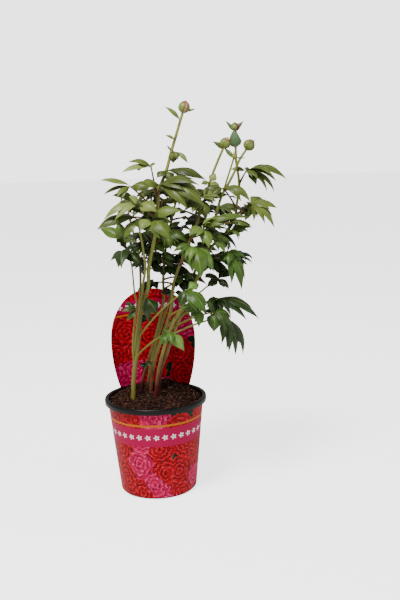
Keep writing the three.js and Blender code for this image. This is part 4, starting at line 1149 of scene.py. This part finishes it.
def leaflet_blades(hub, tip, width, arch, roll, wave, whole_below):
    if width < whole_below:
        return [leaflet(hub, tip, width, arch, roll, wave)]
    blades = [leaflet(hub, tip, 0.7 * width, arch, roll, wave)]
    lift = square_to(upper_side(hub), unit(tip - hub))
    for sign in (1, -1):
        reach = LOBE_REACH * turned_about(tip - hub, lift, sign * LOBE_TURN)
        blades.append(leaflet(hub - 0.5 * lift, hub + reach, 0.56 * width, arch, roll, wave + 0.3 * sign))
    return blades


draw = draws_from(29)
for number, spray in enumerate(sprays):
    hub, node = spray["hub"], spray["node"]
    dusk = dusk_at(hub)
    # Far sprays and low inner leaves get a lower tone: painted shade
    own_tone = 0.27 + 0.45 * next(draw) - (FAR_PAINTED_SHADE if number >= len(SPRAYS) else 0)
    own_tone -= INNER_PAINTED_SHADE * dusk * np.clip((hub[1] + 60) / 50, 0, 1)
    whole_below = LOBED_WIDTH_LEFT if node == 1 else LOBED_WIDTH
    for place, width, arch, roll in spray["kept"]:
        tone = own_tone + 0.3 * (next(draw) - 0.5)
        tone += 0.35 if next(draw) > BRIGHT_FROM else 0
        for blade in leaflet_blades(hub, place, width, arch, roll, next(draw), whole_below):
            grow(node, blade, tone, dusk)
print("points of leaves:", sum(len(heap.points) for heap in leaf_heaps.values()))

# %% [markdown]
# A peony leaf bears small side leaflets on its stalk too. Inside the foliage they fill the gaps
# between the sprays, as the picture is dense there. The bracts under the top bud are single
# leaflets, at places that the solids know.

# %% Side leaflets
SIDE_FROM, SIDE_TO = 400, 560
SHORTEST_STALK = 34
for number, spray in enumerate(sprays):
    root, hub = spray["root"], spray["hub"]
    inside = min(root[2], hub[2]) > SIDE_FROM and max(root[2], hub[2]) < SIDE_TO
    if not inside or np.linalg.norm(hub - root) < SHORTEST_STALK:
        continue
    draw = draws_from(3000 + number)
    for share, sign in ((0.45, 1), (0.55, -1), (0.8, 1), (0.88, -1)):
        foot, heading = bezier(root, stalk_middle(root, hub, spray["sway"]), hub, share)
        ahead = turned_about(unit(heading * (1, 1, 0.4)), UP, sign * (0.7 + 0.4 * next(draw)))
        size = 26 + 12 * next(draw)
        tip = foot + size * ahead - 0.3 * size * next(draw) * UP
        blade = leaflet(foot, tip, 0.42 * size, LEAST_ARCH, 0.4 * (next(draw) - 0.5), next(draw))
        # A low tone here is painted shade inside the foliage
        grow(spray["node"], blade, 0.12 + 0.32 * next(draw), dusk_at(hub))

# %% Bracts, and the whole foliage
BRACT_SIDE = np.array([0, -1, 0.5])
for number, (name, z, tip, width) in enumerate(BRACTS):
    node = int(name[1])
    place, arch, roll = kept_leaflet(node, np.array(tip, float), index + number)
    if place is not None:
        grow(node, leaflet(point_at_height(name, z), place, width, arch, roll, 0.3, BRACT_SIDE), 0.7, 0)
for node in corners:
    for grown in (stem_heaps[node].made(f"stem_{node}", peony_stem),
                  leaf_heaps[node].made(f"leaves_{node}", peony_leaf)):
        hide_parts(f"leafy_stem_{node}")

# %% [markdown]
# A closed bud is a ball of petals that shows only where its sepals part. Five sepals or fewer wrap
# it, each a patch of a slightly larger ball, and each laps over the next. One ball with a painted
# pattern would be quicker, but the laps catch the light. Small bracts stand at its foot, and the
# third bud stands on a neck with two grey-green hoods.

# %% The rows of the buds
TO_FRONT = (0, 1, 0.3)
# Outlines of bracts, as the half width along the blade
TAPER = [(0, 0.9), (0.25, 1.0), (0.5, 0.75), (0.8, 0.3), (1.0, 0.0)]
HOOD = [(0, 0.3), (0.1, 0.8), (0.3, 1.0), (0.7, 0.62), (0.88, 0.3), (1.0, 0.0)]
# Sepals, each with the turn of its middle, half its span, both in degrees, and how high it reaches
OPEN = [(0, 60, 0.84), (144, 60, 0.8), (288, 60, 0.84), (72, 60, 0.8), (216, 60, 0.82)]
WRAPPED = [(0, 60, 0.97), (144, 60, 0.92), (288, 60, 0.97), (72, 60, 0.92), (216, 60, 0.97)]
SLIT = [(20, 60, 0.96), (300, 60, 0.93), (100, 44, 0.86), (232, 62, 0.9)]
SPOT = [(20, 75, 0.96), (300, 60, 0.95), (92, 34, 0.8), (226, 72, 0.98)]


def bract(tip, width, cup, tone, root=None, outline=OUTLINE, side=TO_FRONT):
    return tip, width, cup, tone, root, outline, side


# Route, radius, height, neck, tone, sepals, redness of the petals below and above, and bracts
BUDS = [
    ("s1", 10.4, 23, 0, 0.6, SLIT, (0.95, 0.985), [bract((24, -3, 7), 4, 0.15, 0.3)]),
    ("s3", 9.4, 22, 0, 0.6, OPEN, (0.95, 0.95),
     [bract((-19, -5, 13), 11, 0.08, 0.35, outline=TAPER), bract((13, -4, 10), 12, 0.25, 0.4),
      bract((20, -9, -19), 8, 0.08, 0.3)]),
    ("s4", 8.2, 16, 30.5, 0.5, SPOT, (1.0, 1.0),
     [bract((-3, -7, 33), 24, 0.16, 0.05, outline=HOOD),
      bract((3, 7, 30), 15, 0.16, 0.05, outline=HOOD, side=(-0.8 * 3 / 7.6, -0.8 * 7 / 7.6, 1)),
      bract((-18, -4, 50), 7.5, 0.14, 0.15, (-3, -3, 34), TAPER),
      bract((15, -4, 48), 7.5, 0.14, 0.15, (3, -3, 37), TAPER)]),
    ("s5", 10.2, 21.5, 0, 0.48, WRAPPED, (1.0, 1.0), [bract((16, -6, 17), 7, 0.2, 0.3)]),
    ("s5b", 4.3, 13, 0, 0.75, WRAPPED, (1.0, 1.0),
     [bract((21, -4, 1), 3, 0.06, 0.2), bract((-5, -3, 13), 5, 0.2, 0.5, side=(0.69, 0.41, 1))]),
]

print("buds:", len(BUDS))

# %% The shapes of a bud
SEPAL_COLUMNS = 13
SEPAL_ROWS = 14
SEPAL_THICKNESS = 0.35
BUD_SIDES = 28


def bud_radius(rise):
    return math.sin(math.pi * rise**0.85) ** 0.7


def bud_shapes(radius, height, sepals, petals):
    """The ball of petals, then each sepal, as points, faces and how near the edge each point is."""
    rises = np.linspace(0.01, 0.97, 18)
    points, faces = capped([circle(0.86 * radius * bud_radius(r), height * r, BUD_SIDES) for r in rises])
    yield points, faces, np.interp(points[:, 2] / height, [0.55, 0.85], petals)
    for i, (middle, half_span, top) in enumerate(sepals):
        grids, edge = [[], []], []
        for b in np.linspace(0, 1, SEPAL_ROWS):
            rise = 0.015 + (top - 0.015) * b
            span = math.radians(half_span) * max(0.04, 1 - max(0, (b - 0.55) / 0.45) ** 2.2) ** 0.6
            for a in np.linspace(-1, 1, SEPAL_COLUMNS):
                turn = math.radians(middle) + a * span
                for grid, thick in zip(grids, (0, SEPAL_THICKNESS)):
                    out = max(0.4, radius * bud_radius(rise) - 0.5 + 0.35 * a + 0.12 * i) + thick
                    grid.append((out * math.sin(turn), out * math.cos(turn), height * rise + 0.2 * b))
                edge.append(max(0, (max(abs(a), b) - 0.62) / 0.38) * 0.6)
        points, faces = sheet_between(*grids, SEPAL_COLUMNS, SEPAL_ROWS)
        yield np.array(points), faces, edge * 2


# %% Buds
BRACT_FOLD = 0.35
for i, (name, radius, height, neck, tone, sepals, petals, bracts) in enumerate(BUDS):
    route = np.array(ROUTES[name][2], float)
    axis = unit(route[-1] - route[-2])
    foot = route[-1] + GAP * axis
    lean = np.array(Vector(UP).rotation_difference(Vector(axis)).to_matrix())
    heap = Heap("tone", "edge")
    for points, faces, edge in bud_shapes(radius, height, sepals, petals):
        heap.put((points + (0, 0, neck)) @ lean.T + foot, faces, tone=tone, edge=edge)
    line = foot + np.outer([-0.2, 0.5 * (neck + 2), neck + 2], axis)
    heap.put(*tube(line, [2.2, 2.4, 2.8], 12), tone=tone, edge=0.4)
    for tip, width, cup, own_tone, root, outline, side in bracts:
        root = 2.5 * axis if root is None else np.array(root, float)
        points, faces, facts = leaflet(
            root, np.array(tip, float), width, -cup, 0, 0.2, np.array(side), outline, BRACT_FOLD
        )
        edge = np.clip((np.abs(facts["blade_place"][:, 0]) - 0.8) / 0.2, 0, 1) * 0.3
        heap.put(np.array(points) + foot, faces, tone=own_tone, edge=edge)
    made = heap.made(f"peony_bud_{i + 1}", bud_sepal)
    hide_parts(f"bud_{i + 1}")

# %% [markdown]
# The box of the solids and the box of what is shown are written side by side, to compare them.

# %% Sizes
sizes = {"cad": [[float(x) for x in corner] for corner in cad_box],
         "visual": [[float(x) for x in corner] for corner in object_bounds()]}
print(sizes)
